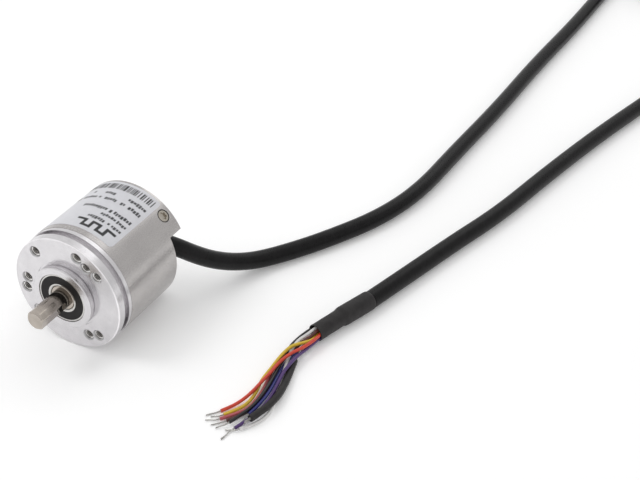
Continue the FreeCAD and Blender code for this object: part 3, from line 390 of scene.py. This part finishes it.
def moulded(name, dark, light, low, high, grain=6.0, depth=0.01, sheen=0.0, **sockets):
    """Moulded or extruded plastic and rubber with a fine skin."""
    s = Shader(name, **sockets)
    cloud = s.noise(s.place(), 0.5, 3.0)
    fine = s.noise(s.place(), grain, 4.0, 0.6)
    s.tint(cloud, dark, light)
    s.rough(fine, low, high)
    s.bump(fine, depth)
    if sheen:
        s.set(Sheen_Weight=sheen)
    return s.material


def clear(name, colour, roughness, weight):
    s = Shader(name, Transmission_Weight=weight, IOR=1.5)
    cloud = s.noise(s.place(), 0.8, 2.0)
    s.tint(cloud, tuple(0.9 * c for c in colour), colour)
    s.rough(s.noise(s.place(), 4.0), roughness, roughness + 0.05)
    return s.material


def insulation(name, colour):
    """Extruded wire insulation, a little uneven in gloss."""
    dark = tuple(0.82 * c for c in colour)
    s = Shader(name, IOR=1.5, Coat_Weight=0.15, Coat_Roughness=0.25)
    s.tint(s.noise(s.place(), 0.6, 3.0), dark, colour)
    s.rough(s.noise(s.place(), 5.0, 3.0), 0.32, 0.46)
    s.bump(s.noise(s.place(), 2.2, 3.0), 0.02)
    return s.material


M = {
    # The flange's base colour carries painted light: a highlight on the chamfer, and shade on the
    # rim and on part of the face.
    "flange": turned_metal("flange_aluminium", (0.66, 0.645, 0.66), (0.73, 0.715, 0.73),
                           0.17, 0.30, depth=0.005, spin=0.65, painted_light=flange_painted_light),
    "sleeve": grained_metal("housing_metal", (0.45, 0.43, 0.425), (0.51, 0.49, 0.48),
                            0.22, 0.30, depth=0.003),
    "cap": turned_metal("cap_aluminium", (0.68, 0.68, 0.67), (0.76, 0.76, 0.75), 0.26, 0.42),
    "screw": turned_metal("screw_steel", (0.42, 0.385, 0.335), (0.54, 0.50, 0.44), 0.18, 0.32,
                          spin=0.0),
    # The shaft's base colour carries a painted reflection and a painted highlight.
    "shaft": turned_metal("shaft_steel", (0.39, 0.35, 0.31), (0.48, 0.435, 0.39), 0.08, 0.17,
                          marks=9.0, depth=0.0015, spin=0.0, painted_light=shaft_painted_reflection),
    # Dark metal for the hole walls: painted shade in the recesses.
    "hole": turned_metal("tapped_hole_wall_shade", (0.17, 0.155, 0.145), (0.26, 0.24, 0.225), 0.4, 0.55,
                         spin=0.0),
    # Brighter than the flange: a painted highlight on the thread crests.
    "thread": turned_metal("tapped_thread_highlight", (0.92, 0.90, 0.88), (0.96, 0.95, 0.94), 0.20, 0.32,
                           spin=0.0),
    # Darker than the flange face: painted shade in the countersinks.
    "mouth": turned_metal("hole_countersink_shade", (0.40, 0.395, 0.40), (0.50, 0.495, 0.50),
                          0.24, 0.36, spin=0.0),
    "spring": turned_metal("spring_steel", (0.45, 0.44, 0.43), (0.55, 0.54, 0.52), 0.25, 0.4),
    "bearing": turned_metal("bearing_steel", (0.56, 0.55, 0.53), (0.66, 0.65, 0.63),
                            0.12, 0.22, depth=0.001, spin=0.2),
    "brass": turned_metal("hub_brass", (0.70, 0.52, 0.24), (0.80, 0.62, 0.30), 0.2, 0.34),
    "tinned": grained_metal("tinned_metal", (0.42, 0.41, 0.39), (0.58, 0.57, 0.55),
                            0.22, 0.36, (2, 2, 2)),
    "seal": moulded("seal_rubber", (0.008, 0.007, 0.007), (0.013, 0.0115, 0.0115), 0.42, 0.56,
                     Specular_IOR_Level=0.2),
    # Near-black painted shade for the gaps round the bearing and the screw heads.
    "gap": moulded("gap_painted_shade", (0.006, 0.005, 0.005), (0.012, 0.011, 0.010), 0.4, 0.6,
                   Specular_IOR_Level=0.2),
    "gland": moulded("gland_rubber", (0.006, 0.006, 0.006), (0.010, 0.010, 0.010), 0.5, 0.65,
                     Specular_IOR_Level=0.2),
    "jacket": moulded("cable_jacket", (0.005, 0.0048, 0.005), (0.009, 0.0085, 0.009),
                      0.24, 0.38, 3.0, 0.02, Specular_IOR_Level=0.16),
    "shrink": moulded("shrink_black", (0.015, 0.0135, 0.014), (0.025, 0.023, 0.023),
                      0.44, 0.60, 2.5, 0.03, Specular_IOR_Level=0.3),
    "cage": moulded("bearing_cage", (0.62, 0.54, 0.40), (0.70, 0.62, 0.48), 0.4, 0.55),
    "bracket": moulded("bracket_plastic", (0.04, 0.04, 0.04), (0.06, 0.06, 0.06), 0.4, 0.55),
    "chip": moulded("chip_plastic", (0.02, 0.02, 0.02), (0.03, 0.03, 0.03), 0.45, 0.6),
    "ceramic": moulded("capacitor_ceramic", (0.42, 0.30, 0.18), (0.50, 0.36, 0.22), 0.4, 0.5),
    "connector": moulded("connector_plastic", (0.76, 0.73, 0.64), (0.84, 0.81, 0.72),
                         0.35, 0.5),
    "board": moulded("board_laminate", (0.02, 0.14, 0.05), (0.03, 0.19, 0.07), 0.25, 0.4),
    "core": moulded("core_insulation", (0.50, 0.10, 0.06), (0.62, 0.45, 0.20), 0.35, 0.5),
    "label": moulded("label_film", (0.60, 0.60, 0.63), (0.64, 0.64, 0.67), 0.34, 0.46,
                     4.0, 0.004),
    "ink": moulded("label_ink", (0.012, 0.012, 0.014), (0.03, 0.03, 0.032), 0.4, 0.55),
    "soft_ink": moulded("label_soft_ink", (0.03, 0.03, 0.033), (0.07, 0.07, 0.075), 0.4, 0.55),
    "glass": clear("disc_glass", (0.85, 0.92, 0.92), 0.03, 0.7),
    "led": clear("led_lens", (0.45, 0.50, 0.70), 0.08, 0.5),
}
WIRE_COLOURS = {
    "black": (0.010, 0.008, 0.008), "white": (0.74, 0.73, 0.72), "brown": (0.09, 0.022, 0.016),
    "yellow": (0.70, 0.49, 0.03), "red": (0.66, 0.055, 0.025), "violet": (0.075, 0.028, 0.16),
    "blue": (0.022, 0.026, 0.21), "pink": (0.50, 0.10, 0.12),
}

make_camera()

cable = cord_curve("cable", CABLE_FROM_GLAND + coil_points() + CABLE_FROM_COIL,
                   CABLE_D / 2, M["jacket"], 10, 8)
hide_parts("cable_near", "cable_coil", "cable_far")

for colour, rgb in WIRE_COLOURS.items():
    node = f"wire_{colour}"
    points = WIRES[node]
    wire = cord_curve(f"{node}_cord", points, WIRE_D / 2,
                      insulation(f"insulation_{colour}", rgb), 10, 5)
    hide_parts(node)


# ---------------------------------------------------------------- mesh helpers
def mesh_piece(name, verts, faces, material, body=BODY, sharp=35.0):
    """A mesh from points in millimetres, smooth but for its sharp edges."""
    data = bpy.data.meshes.new(name)
    data.from_pydata([tuple(c * MM for c in v) for v in verts], [], faces)
    data.update()
    data.polygons.foreach_set("use_smooth", [True] * len(data.polygons))
    data.set_sharp_from_angle(angle=math.radians(sharp))
    data.materials.append(material)
    piece = bpy.data.objects.new(name, data)
    bpy.context.scene.collection.objects.link(piece)
    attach(piece, body)
    return piece


def rings_mesh(rings, close_start=False, close_end=False, loop=False):
    """Faces between rings of points that all have the same count."""
    verts, faces = [], []
    count = len(rings[0])
    for ring in rings:
        verts.extend(ring)
    last = len(rings) if loop else len(rings) - 1
    for i in range(last):
        for j in range(count):
            a = i * count + j
            b = i * count + (j + 1) % count
            c = (i + 1) % len(rings) * count + (j + 1) % count
            d = (i + 1) % len(rings) * count + j
            faces.append((a, b, c, d))
    if close_start:
        faces.append(tuple(reversed(range(count))))
    if close_end:
        faces.append(tuple(range((len(rings) - 1) * count, len(rings) * count)))
    return verts, faces


def merge(verts, faces, more):
    """Adds a mesh's points and faces to a list of each."""
    first = len(verts)
    verts.extend(more[0])
    faces.extend(tuple(first + i for i in face) for face in more[1])


def circle(middle, first, second, radius, count):
    """Points round a circle in the plane of two directions."""
    turns = (2 * math.pi * k / count for k in range(count))
    return [middle + (first * math.cos(a) + second * math.sin(a)) * radius for a in turns]


def axis_ring(radius, y, count, cx=0.0, cz=0.0):
    """Points round a circle whose axis is the shaft's or runs beside it."""
    return circle(Vector((cx, y, cz)), Vector((1, 0, 0)), Vector((0, 0, 1)), radius, count)


def path_frames(points):
    """The middle of each ring along a path, two directions across it and the one along it."""
    places = [Vector(p) for p in points]
    frames = []
    side = None
    for i, place in enumerate(places):
        ahead = places[min(i + 1, len(places) - 1)] - places[max(i - 1, 0)]
        ahead.normalize()
        if side is None:
            side = ahead.cross(Vector((0, 0, 1))).normalized()
        side = (side - ahead * side.dot(ahead)).normalized()
        frames.append((place, side, ahead.cross(side), ahead))
    return frames


def curve_line(points, steps=12):
    """Points along the smooth line that a cord's route makes."""
    data = bpy.data.curves.new("line", "CURVE")
    data.dimensions = "3D"
    data.resolution_u = steps
    spline = data.splines.new("NURBS")
    spline.points.add(len(points) - 1)
    for point, place in zip(spline.points, points):
        point.co = (*place, 1.0)
    spline.order_u = 3
    spline.use_endpoint_u = True
    holder = bpy.data.objects.new("line", data)
    mesh = bpy.data.meshes.new_from_object(holder)
    line = [v.co.copy() for v in mesh.vertices]
    bpy.data.objects.remove(holder)
    bpy.data.curves.remove(data)
    bpy.data.meshes.remove(mesh)
    return line


# ---------------------------------------------------------------- the cable's end
def make_shrink_sleeve():
    """The shrink sleeve: it hugs the cable, steps down, and opens at its mouth."""
    start, bend, end = (Vector(place) for place in SHRINK_LINE)
    steps = 40
    line = [start.lerp(bend, step / steps) for step in range(steps + 1)]
    line += [bend.lerp(end, step / steps) for step in range(1, steps + 1)]
    frames = path_frames(line)
    count = 64
    wide_radius, narrow_radius, mouth_radius = 3.05, 2.68, 2.40
    wide_length = (bend - start).length

    def outer_radius(s, angle):
        """The radius at a distance along the sleeve: a step, a drawn-in end, and ripples."""
        step = 0.5 + 0.5 * math.tanh((s - wide_length + 0.2) / 0.55)
        radius = wide_radius * (1 - step) + narrow_radius * step
        radius -= 0.24 * math.exp(-s / 0.35)
        bulge = math.exp(-((s - wide_length + 1.2) / 0.9) ** 2)
        radius += 0.04 * bulge * (0.5 + 0.5 * math.sin(3 * angle + 1.2))
        waves = math.sin(2 * angle + 0.45 * s) * math.sin(0.9 * s + angle)
        radius += 0.022 * waves + 0.012 * math.sin(5 * angle - 1.1 * s)
        return radius

    rings = []
    travelled = 0.0
    for i, (place, side, over, _) in enumerate(frames):
        if i:
            travelled += (place - frames[i - 1][0]).length
        ring = []
        for k in range(count):
            angle = 2 * math.pi * k / count
            radius = outer_radius(travelled, angle)
            ring.append(place + (side * math.cos(angle) + over * math.sin(angle)) * radius)
        rings.append(ring)
    place, side, over, ahead = frames[-1]

    lip = [(2.60, 0.05), (2.46, 0.05)]
    lip += [(mouth_radius, -back) for back in (0.1, 0.6, 1.5, 2.8, 4.2)]
    lip += [(0.4, -4.3)]
    rings += [circle(place + ahead * forward, side, over, radius, count)
              for radius, forward in lip]
    verts, faces = rings_mesh(rings, True, True)
    piece = mesh_piece("shrink_sleeve", verts, faces, M["shrink"])
    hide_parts("heat_shrink_sleeve")
    return piece


shrink_sleeve = make_shrink_sleeve()

drain_line = DRAIN_WIRE[:-1] + DRAIN_SLEEVE
drain = cord_curve("drain_wire_cord", drain_line, DRAIN_D / 2, M["tinned"], 10, 5)
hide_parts("drain_wire")


def make_drain_sleeve():
    """The shrink tube round the drain wire, a little uneven, with its ends drawn in."""
    frames = path_frames(curve_line(DRAIN_SLEEVE, 14))
    count = 28
    rings = []
    for i, (place, side, over, _) in enumerate(frames):
        t = i / (len(frames) - 1)
        ring = []
        for k in range(count):
            angle = 2 * math.pi * k / count
            radius = 1.04 + 0.025 * math.sin(9 * t + 2 * angle) + 0.02 * math.sin(23 * t - angle)
            radius -= 0.10 * math.exp(-t / 0.012) + 0.12 * math.exp(-(1 - t) / 0.012)
            ring.append(place + (side * math.cos(angle) + over * math.sin(angle)) * radius)
        rings.append(ring)
    inner_radius, inset = 0.5, 0.25
    (first, side, over, ahead), (last, *across, back) = frames[0], frames[-1]
    rings.insert(0, circle(first + ahead * inset, side, over, inner_radius, count))
    rings.append(circle(last - back * inset, *across, inner_radius, count))
    verts, faces = rings_mesh(rings, True, True)
    piece = mesh_piece("drain_sleeve", verts, faces, M["shrink"])
    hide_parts("drain_wire_sleeve")
    return piece


drain_sleeve = make_drain_sleeve()


def strand(line, radius, offset, phase, twist):
    """A fine metal strand that winds round a line."""
    rings = []
    for i, (place, side, over, _) in enumerate(path_frames(line)):
        turn = phase + twist * i
        middle = place + (side * math.cos(turn) + over * math.sin(turn)) * offset
        rings.append(circle(middle, side, over, radius, 8))
    return rings_mesh(rings, True, True)


def make_tips():
    """The stripped conductors: a few twisted strands each, splayed a little at the end."""
    verts, faces = [], []
    strands, splay, fifth_turn = 5, 0.18, 1.2566
    thick, offset, twist = 0.085, 0.13, 0.32
    for node, tip in WIRE_TIPS.items():
        end, before = Vector(WIRES[node][-1]), Vector(WIRES[node][-2])
        heading = (end - before).normalized()
        root = end - heading * 0.8
        tip = Vector(tip)
        soft = end + heading * (tip - end).length * 0.35
        for part in range(strands):
            aside = Vector((rng.uniform(-1, 1), rng.uniform(-1, 1), 0)) * splay
            line = curve_line([root, end, soft, end.lerp(tip, 0.72), tip + aside], 8)
            for place in line:
                place.z = max(place.z, FLOOR_Z + 0.12)
            merge(verts, faces, strand(line, thick, offset, part * fifth_turn, twist))

    place = Vector(DRAIN_SLEEVE[-1])
    heading = (place - Vector(DRAIN_SLEEVE[-2])).normalized()
    screen_strands, thick, offset, twist = 9, 0.08, 0.2, 0.2
    for part in range(screen_strands):
        aside = Vector((rng.uniform(-1, 1), rng.uniform(-1, 1), rng.uniform(-0.6, 0.3)))
        far = place + heading * rng.uniform(1.6, 2.6) + aside * 0.55
        far.z = max(far.z, FLOOR_Z + 0.2)
        middle = place.lerp(far, 0.5) + aside * 0.12
        line = curve_line([place - heading * 0.6, place, middle, far], 8)
        merge(verts, faces, strand(line, thick, offset, part * 0.7, twist))
    piece = mesh_piece("wire_tip_strands", verts, faces, M["tinned"])
    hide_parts("wire_tips")
    return piece


wire_tip_strands = make_tips()


# ---------------------------------------------------------------- flange and housing
WIDE_CIRCLE, NARROW_CIRCLE = 15.0, 14.0
WIDE_ANGLES = (40.5, 70.5, 130.5, 190.5, 220.5, 310.5)
NARROW_ANGLES = (56.0, 176.0, 296.0)


def hole_middle(circle_radius, degrees):
    """A hole's place in the flange, at an angle from +X towards +Z, seen from the front."""
    turn = math.radians(degrees)
    return circle_radius * math.cos(turn), circle_radius * math.sin(turn)


HOLES = [hole_middle(WIDE_CIRCLE, a) for a in WIDE_ANGLES]
HOLES += [hole_middle(NARROW_CIRCLE, a) for a in NARROW_ANGLES]
HOLE_RADIUS = 1.5
SCREW_ANGLE = 44.3       # the first cap screw, from +X towards +Z
SCREW_Y = 31.0


def make_threads():
    """The screw threads inside the flange's tapped holes, as helical ridges, in metal painted
    brighter than the flange as a highlight on their crests.
    """
    verts, faces = [], []
    pitch, turns, count = 0.5, 8, 28
    start, height, half_root, half_crest = 0.44, 0.26, 0.13, 0.04
    for cx, cz in HOLES:
        first = len(verts)
        for step in range(turns * count + 1):
            t = step / count
            turn = 2 * math.pi * t
            crest = HOLE_RADIUS - height * min(1.0, t * 2.0)
            y = start + pitch * t
            for radius, along in ((HOLE_RADIUS, y - half_root), (crest, y - half_crest),
                                  (crest, y + half_crest), (HOLE_RADIUS, y + half_root)):
                verts.append((cx + radius * math.cos(turn), along,
                              cz + radius * math.sin(turn)))
        for step in range(turns * count):
            for side in range(3):
                a = first + 4 * step + side
                faces.append((a, a + 1, a + 5, a + 4))
    mesh_piece("flange_threads", verts, faces, M["thread"], sharp=60)


def make_hole_linings():
    """The walls with their cone-shaped floors, darkened with painted shade, and the countersunk
    mouths, a little darker than the face as painted shade.
    """
    wall = ((1.48, 0.36), (1.48, 4.55), (0.05, 4.95))
    mouth = ((1.845, 0.012), (1.49, 0.37), (1.47, 0.37), (1.825, 0.008))
    for name, profile, material, loop in (("flange_hole_walls", wall, "hole", False),
                                          ("flange_hole_mouths", mouth, "mouth", True)):
        verts, faces = [], []
        for cx, cz in HOLES:
            rings = [axis_ring(radius, y, 32, cx, cz) for radius, y in profile]
            merge(verts, faces, rings_mesh(rings, close_end=not loop, loop=loop))
        mesh_piece(name, verts, faces, M[material])


def make_bearing_gap_shade():
    """Dark rings of painted shade in the gaps round the bearing and between the shaft and its
    inner ring.
    """
    thickness = 0.01
    for name, near, far, y, body in (("bearing_gap_shade_outer", 7.78, 7.99, -2.01, BODY),
                                     ("bearing_gap_shade_inner", 3.98, 4.22, -1.99, ROTOR)):
        front = y - thickness
        rings = [axis_ring(radius, place, 96)
                 for radius, place in ((near, front), (far, front), (far, y), (near, y))]
        verts, faces = rings_mesh(rings, loop=True)
        mesh_piece(name, verts, faces, M["gap"], body=body)


def make_screw_gap_shade():
    """A dark ring of painted shadow round each of the three sunk screw heads in the sleeve."""
    verts, faces = [], []
    profile = ((1.74, 18.155), (1.96, 18.165), (2.04, 18.25), (1.99, 18.25), (1.90, 18.20))
    along = Vector((0, 1, 0))
    for number in range(3):
        turn = math.radians(SCREW_ANGLE + 120 * number)
        out = Vector((math.cos(turn), 0, math.sin(turn)))
        across = Vector((-math.sin(turn), 0, math.cos(turn)))
        rings = [circle(along * SCREW_Y + out * height, along, across, radius, 48)
                 for radius, height in profile]
        merge(verts, faces, rings_mesh(rings, loop=True))
    mesh_piece("cap_screw_gap_shade", verts, faces, M["gap"])


make_threads()
make_hole_linings()
make_bearing_gap_shade()
make_screw_gap_shade()


# ---------------------------------------------------------------- label
LABEL_R = 18.55
DEG_PER_MM = math.degrees(1 / LABEL_R)


def on_housing(radius, degrees, y):
    """A point round the housing, at an angle from the top towards +X."""
    turn = math.radians(degrees)
    return radius * math.sin(turn), y, radius * math.cos(turn)


def film(name, strips, lift, material):
    """Printed patches on the label: each is two angles and two places along the housing."""
    verts, faces = [], []
    for low, high, front, back in strips:
        first = len(verts)
        steps = max(1, int(abs(high - low) / 2.0))
        for step in range(steps + 1):
            angle = low + (high - low) * step / steps
            verts += [on_housing(LABEL_R + lift, angle, y) for y in (front, back)]
        for step in range(steps):
            a = first + 2 * step
            faces.append((a, a + 1, a + 3, a + 2))
    mesh_piece(name, verts, faces, material, sharp=180)


def make_label():
    """The label's film, with rounded corners and a real edge."""
    low, high, front, back, corner = -58.0, 36.8, 7.9, 33.1, 1.3
    corner_deg = corner * DEG_PER_MM
    columns = {low + (high - low) * i / 60 for i in range(61)}
    for middle, start in ((high - corner_deg, 0), (low + corner_deg, 90),
                          (low + corner_deg, 180), (high - corner_deg, 270)):
        for step in range(9):
            turn = math.radians(start + 90 * step / 8)
            columns.add(round(middle + corner_deg * math.cos(turn), 3))
    columns = sorted(columns)
    columns = [columns[0]] + [c for a, c in zip(columns, columns[1:]) if c - a > 0.02]

    def edge(angle):
        """Where the film starts and ends along the housing, inside its rounded corners."""
        inset = max(low + corner_deg - angle, angle - (high - corner_deg), 0)
        inset = min(inset / DEG_PER_MM, corner)
        cut_in = corner - math.sqrt(max(corner ** 2 - inset ** 2, 0.0))
        return front + cut_in, back - cut_in

    verts, faces = [], []
    for angle in columns:
        y0, y1 = edge(angle)
        verts += [on_housing(radius, angle, y)
                  for radius, y in ((HOUSING_RADIUS, y0), (LABEL_R, y0),
                                    (LABEL_R, y1), (HOUSING_RADIUS, y1))]
    for i in range(len(columns) - 1):
        a = 4 * i
        faces += [(a, a + 1, a + 5, a + 4), (a + 1, a + 2, a + 6, a + 5),
                  (a + 2, a + 3, a + 7, a + 6)]
    last = 4 * (len(columns) - 1)
    faces += [(3, 2, 1, 0), (last, last + 1, last + 2, last + 3)]
    piece = mesh_piece("label_film_piece", verts, faces, M["label"])
    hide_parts("label")


def make_print():
    """What is printed on the label: bars that encode nothing, blocked-out lines of text and
    a square wave."""
    margin = 32.5            # degrees from the top, where the print starts
    bar_end, bar_front, bar_back = -55.0, 29.2, 32.0
    bars = []
    angle = margin
    while angle > bar_end:
        width = rng.choice((0.3, 0.3, 0.5, 0.8)) * DEG_PER_MM
        bars.append((angle - width, angle, bar_front, bar_back))
        angle -= width + rng.choice((0.22, 0.22, 0.4, 0.6)) * DEG_PER_MM
    film("label_bars", bars, 0.012, M["ink"])

    # A line's place along the housing, its height, and its words with the gaps as negatives.
    lines = [
        (26.7, 1.45, [6.6, -4.2, 4.0, -3.4, 1.2]),
        (23.9, 1.45, [4.6, -1.0, 2.0, -1.0, 4.4, -1.0, 0.7, -1.0, 5.0, -1.2, 4.2]),
        (19.2, 1.55, [6.0, -0.7, 1.0, -0.7, 8.4]),
        (16.8, 1.35, [3.2, -0.5, 5.6]),
        (14.3, 1.35, [3.3, -0.7, 1.1, -0.7, 6.2]),
    ]
    block_inset, block_gap, least_block = 0.25, 0.2, 0.5
    blocks = []
    for y, height, words in lines:
        angle = margin
        reach = height / 2 - block_inset
        for word in words:
            if word < 0:
                angle += word * DEG_PER_MM
                continue
            end = angle - word * DEG_PER_MM
            while angle - least_block * DEG_PER_MM > end:
                width = min(rng.choice((0.55, 0.68, 0.8)), (angle - end) / DEG_PER_MM)
                rise = rng.choice((0.0, 0.0, 0.28))
                drop = rng.choice((0.0, 0.0, 0.0, 0.25))
                blocks.append((angle - width * DEG_PER_MM, angle,
                               y - reach - rise, y + reach + drop))
                angle -= (width + block_gap) * DEG_PER_MM
            angle = end
    film("label_lines", blocks, 0.012, M["soft_ink"])

    low, high, thick = 9.3, 12.7, 0.95
    wave_start, wave_end = 32.0, -2.0
    half = 2.45 * DEG_PER_MM
    wide = thick * DEG_PER_MM
    wave, angle, up = [], wave_start, True
    while angle > wave_end:
        y = high - thick if up else low
        wave.append((angle - half - wide, angle, y, y + thick))
        wave.append((angle - half - wide, angle - half, low, high))
        angle -= half
        up = not up
    film("label_wave", wave[:-1], 0.014, M["ink"])


make_label()
make_print()


# ---------------------------------------------------------------- finishes of the CAD nodes
FINISH = {
    "front_flange": "flange", "housing_sleeve": "sleeve", "rear_cap": "cap",
    "rear_cap_screws": "screw", "housing_seal": "seal", "shaft": "shaft",
    "retaining_ring": "spring", "wave_spring": "spring",
    "disc_hub": "brass", "hub_set_screw": "screw", "code_disc": "glass",
    "emitter_bracket": "bracket", "emitter_led": "led", "led_pins": "tinned",
    "sensor_mask": "glass", "sensor_chip": "chip", "board_standoffs": "brass",
    "circuit_board": "board", "board_screws": "screw", "processor_chip": "chip",
    "capacitors": "ceramic", "board_connector": "connector", "inner_cores": "core",
    "cable_gland": "gland", "coil_tie": "seal",
}
for bearing in ("front_bearing", "rear_bearing"):
    FINISH.update({
        f"{bearing}_outer_ring": "bearing", f"{bearing}_inner_ring": "bearing",
        f"{bearing}_seals": "seal", f"{bearing}_cage": "cage", f"{bearing}_balls": "bearing",
    })
for node, finish in FINISH.items():
    for entry in NODES[node].material_slots:
        entry.material = M[finish]


# ---------------------------------------------------------------- stage
def make_stage():
    """A plain pale floor and soft light from large panels."""
    floor_shader = Shader("floor", Roughness=0.9, Emission_Color=(1.0, 1.0, 1.0),
                          Emission_Strength=0.12)
    floor_shader.tint(floor_shader.noise(floor_shader.place(), 0.01), (0.93, 0.93, 0.93),
                      (0.95, 0.95, 0.95))
    half, z = 3.0, FLOOR_Z * MM
    data = bpy.data.meshes.new("floor")
    data.from_pydata([(-half, -half, z), (half, -half, z), (half, half, z), (-half, half, z)],
                     [], [(0, 1, 2, 3)])
    data.materials.append(floor_shader.material)
    floor = bpy.data.objects.new("floor", data)
    bpy.context.scene.collection.objects.link(floor)

    # An even surround, a little darker towards +X.
    world = bpy.data.worlds.new("studio")
    world.use_nodes = True
    tree = world.node_tree
    background = tree.nodes["Background"]
    background.inputs["Color"].default_value = (1, 1, 1, 1)
    coords = tree.nodes.new("ShaderNodeTexCoord")
    split = tree.nodes.new("ShaderNodeSeparateXYZ")
    tree.links.new(coords.outputs["Generated"], split.inputs[0])
    fall = tree.nodes.new("ShaderNodeMapRange")
    for socket, value in (("From Min", -0.5), ("From Max", 0.9),
                          ("To Min", 0.86), ("To Max", 0.69)):
        fall.inputs[socket].default_value = value
    tree.links.new(split.outputs["X"], fall.inputs["Value"])
    tree.links.new(fall.outputs["Result"], background.inputs["Strength"])
    bpy.context.scene.world = world

    target = Vector((10, 20, 0)) * MM
    for name, place, across, power in (
        ("key", (-240, -120, 400), 0.18, 0.46),
        ("fill", (330, -300, 260), 0.35, 0.045),
        ("back", (60, 420, 330), 0.30, 0.22),
    ):
        light = bpy.data.lights.new(name, "AREA")
        light.shape = "SQUARE"
        light.size = across
        light.energy = power
        lamp = bpy.data.objects.new(name, light)
        lamp.location = Vector(place) * MM
        lamp.rotation_euler = (target - lamp.location).to_track_quat("-Z", "Y").to_euler()
        bpy.context.scene.collection.objects.link(lamp)


make_stage()
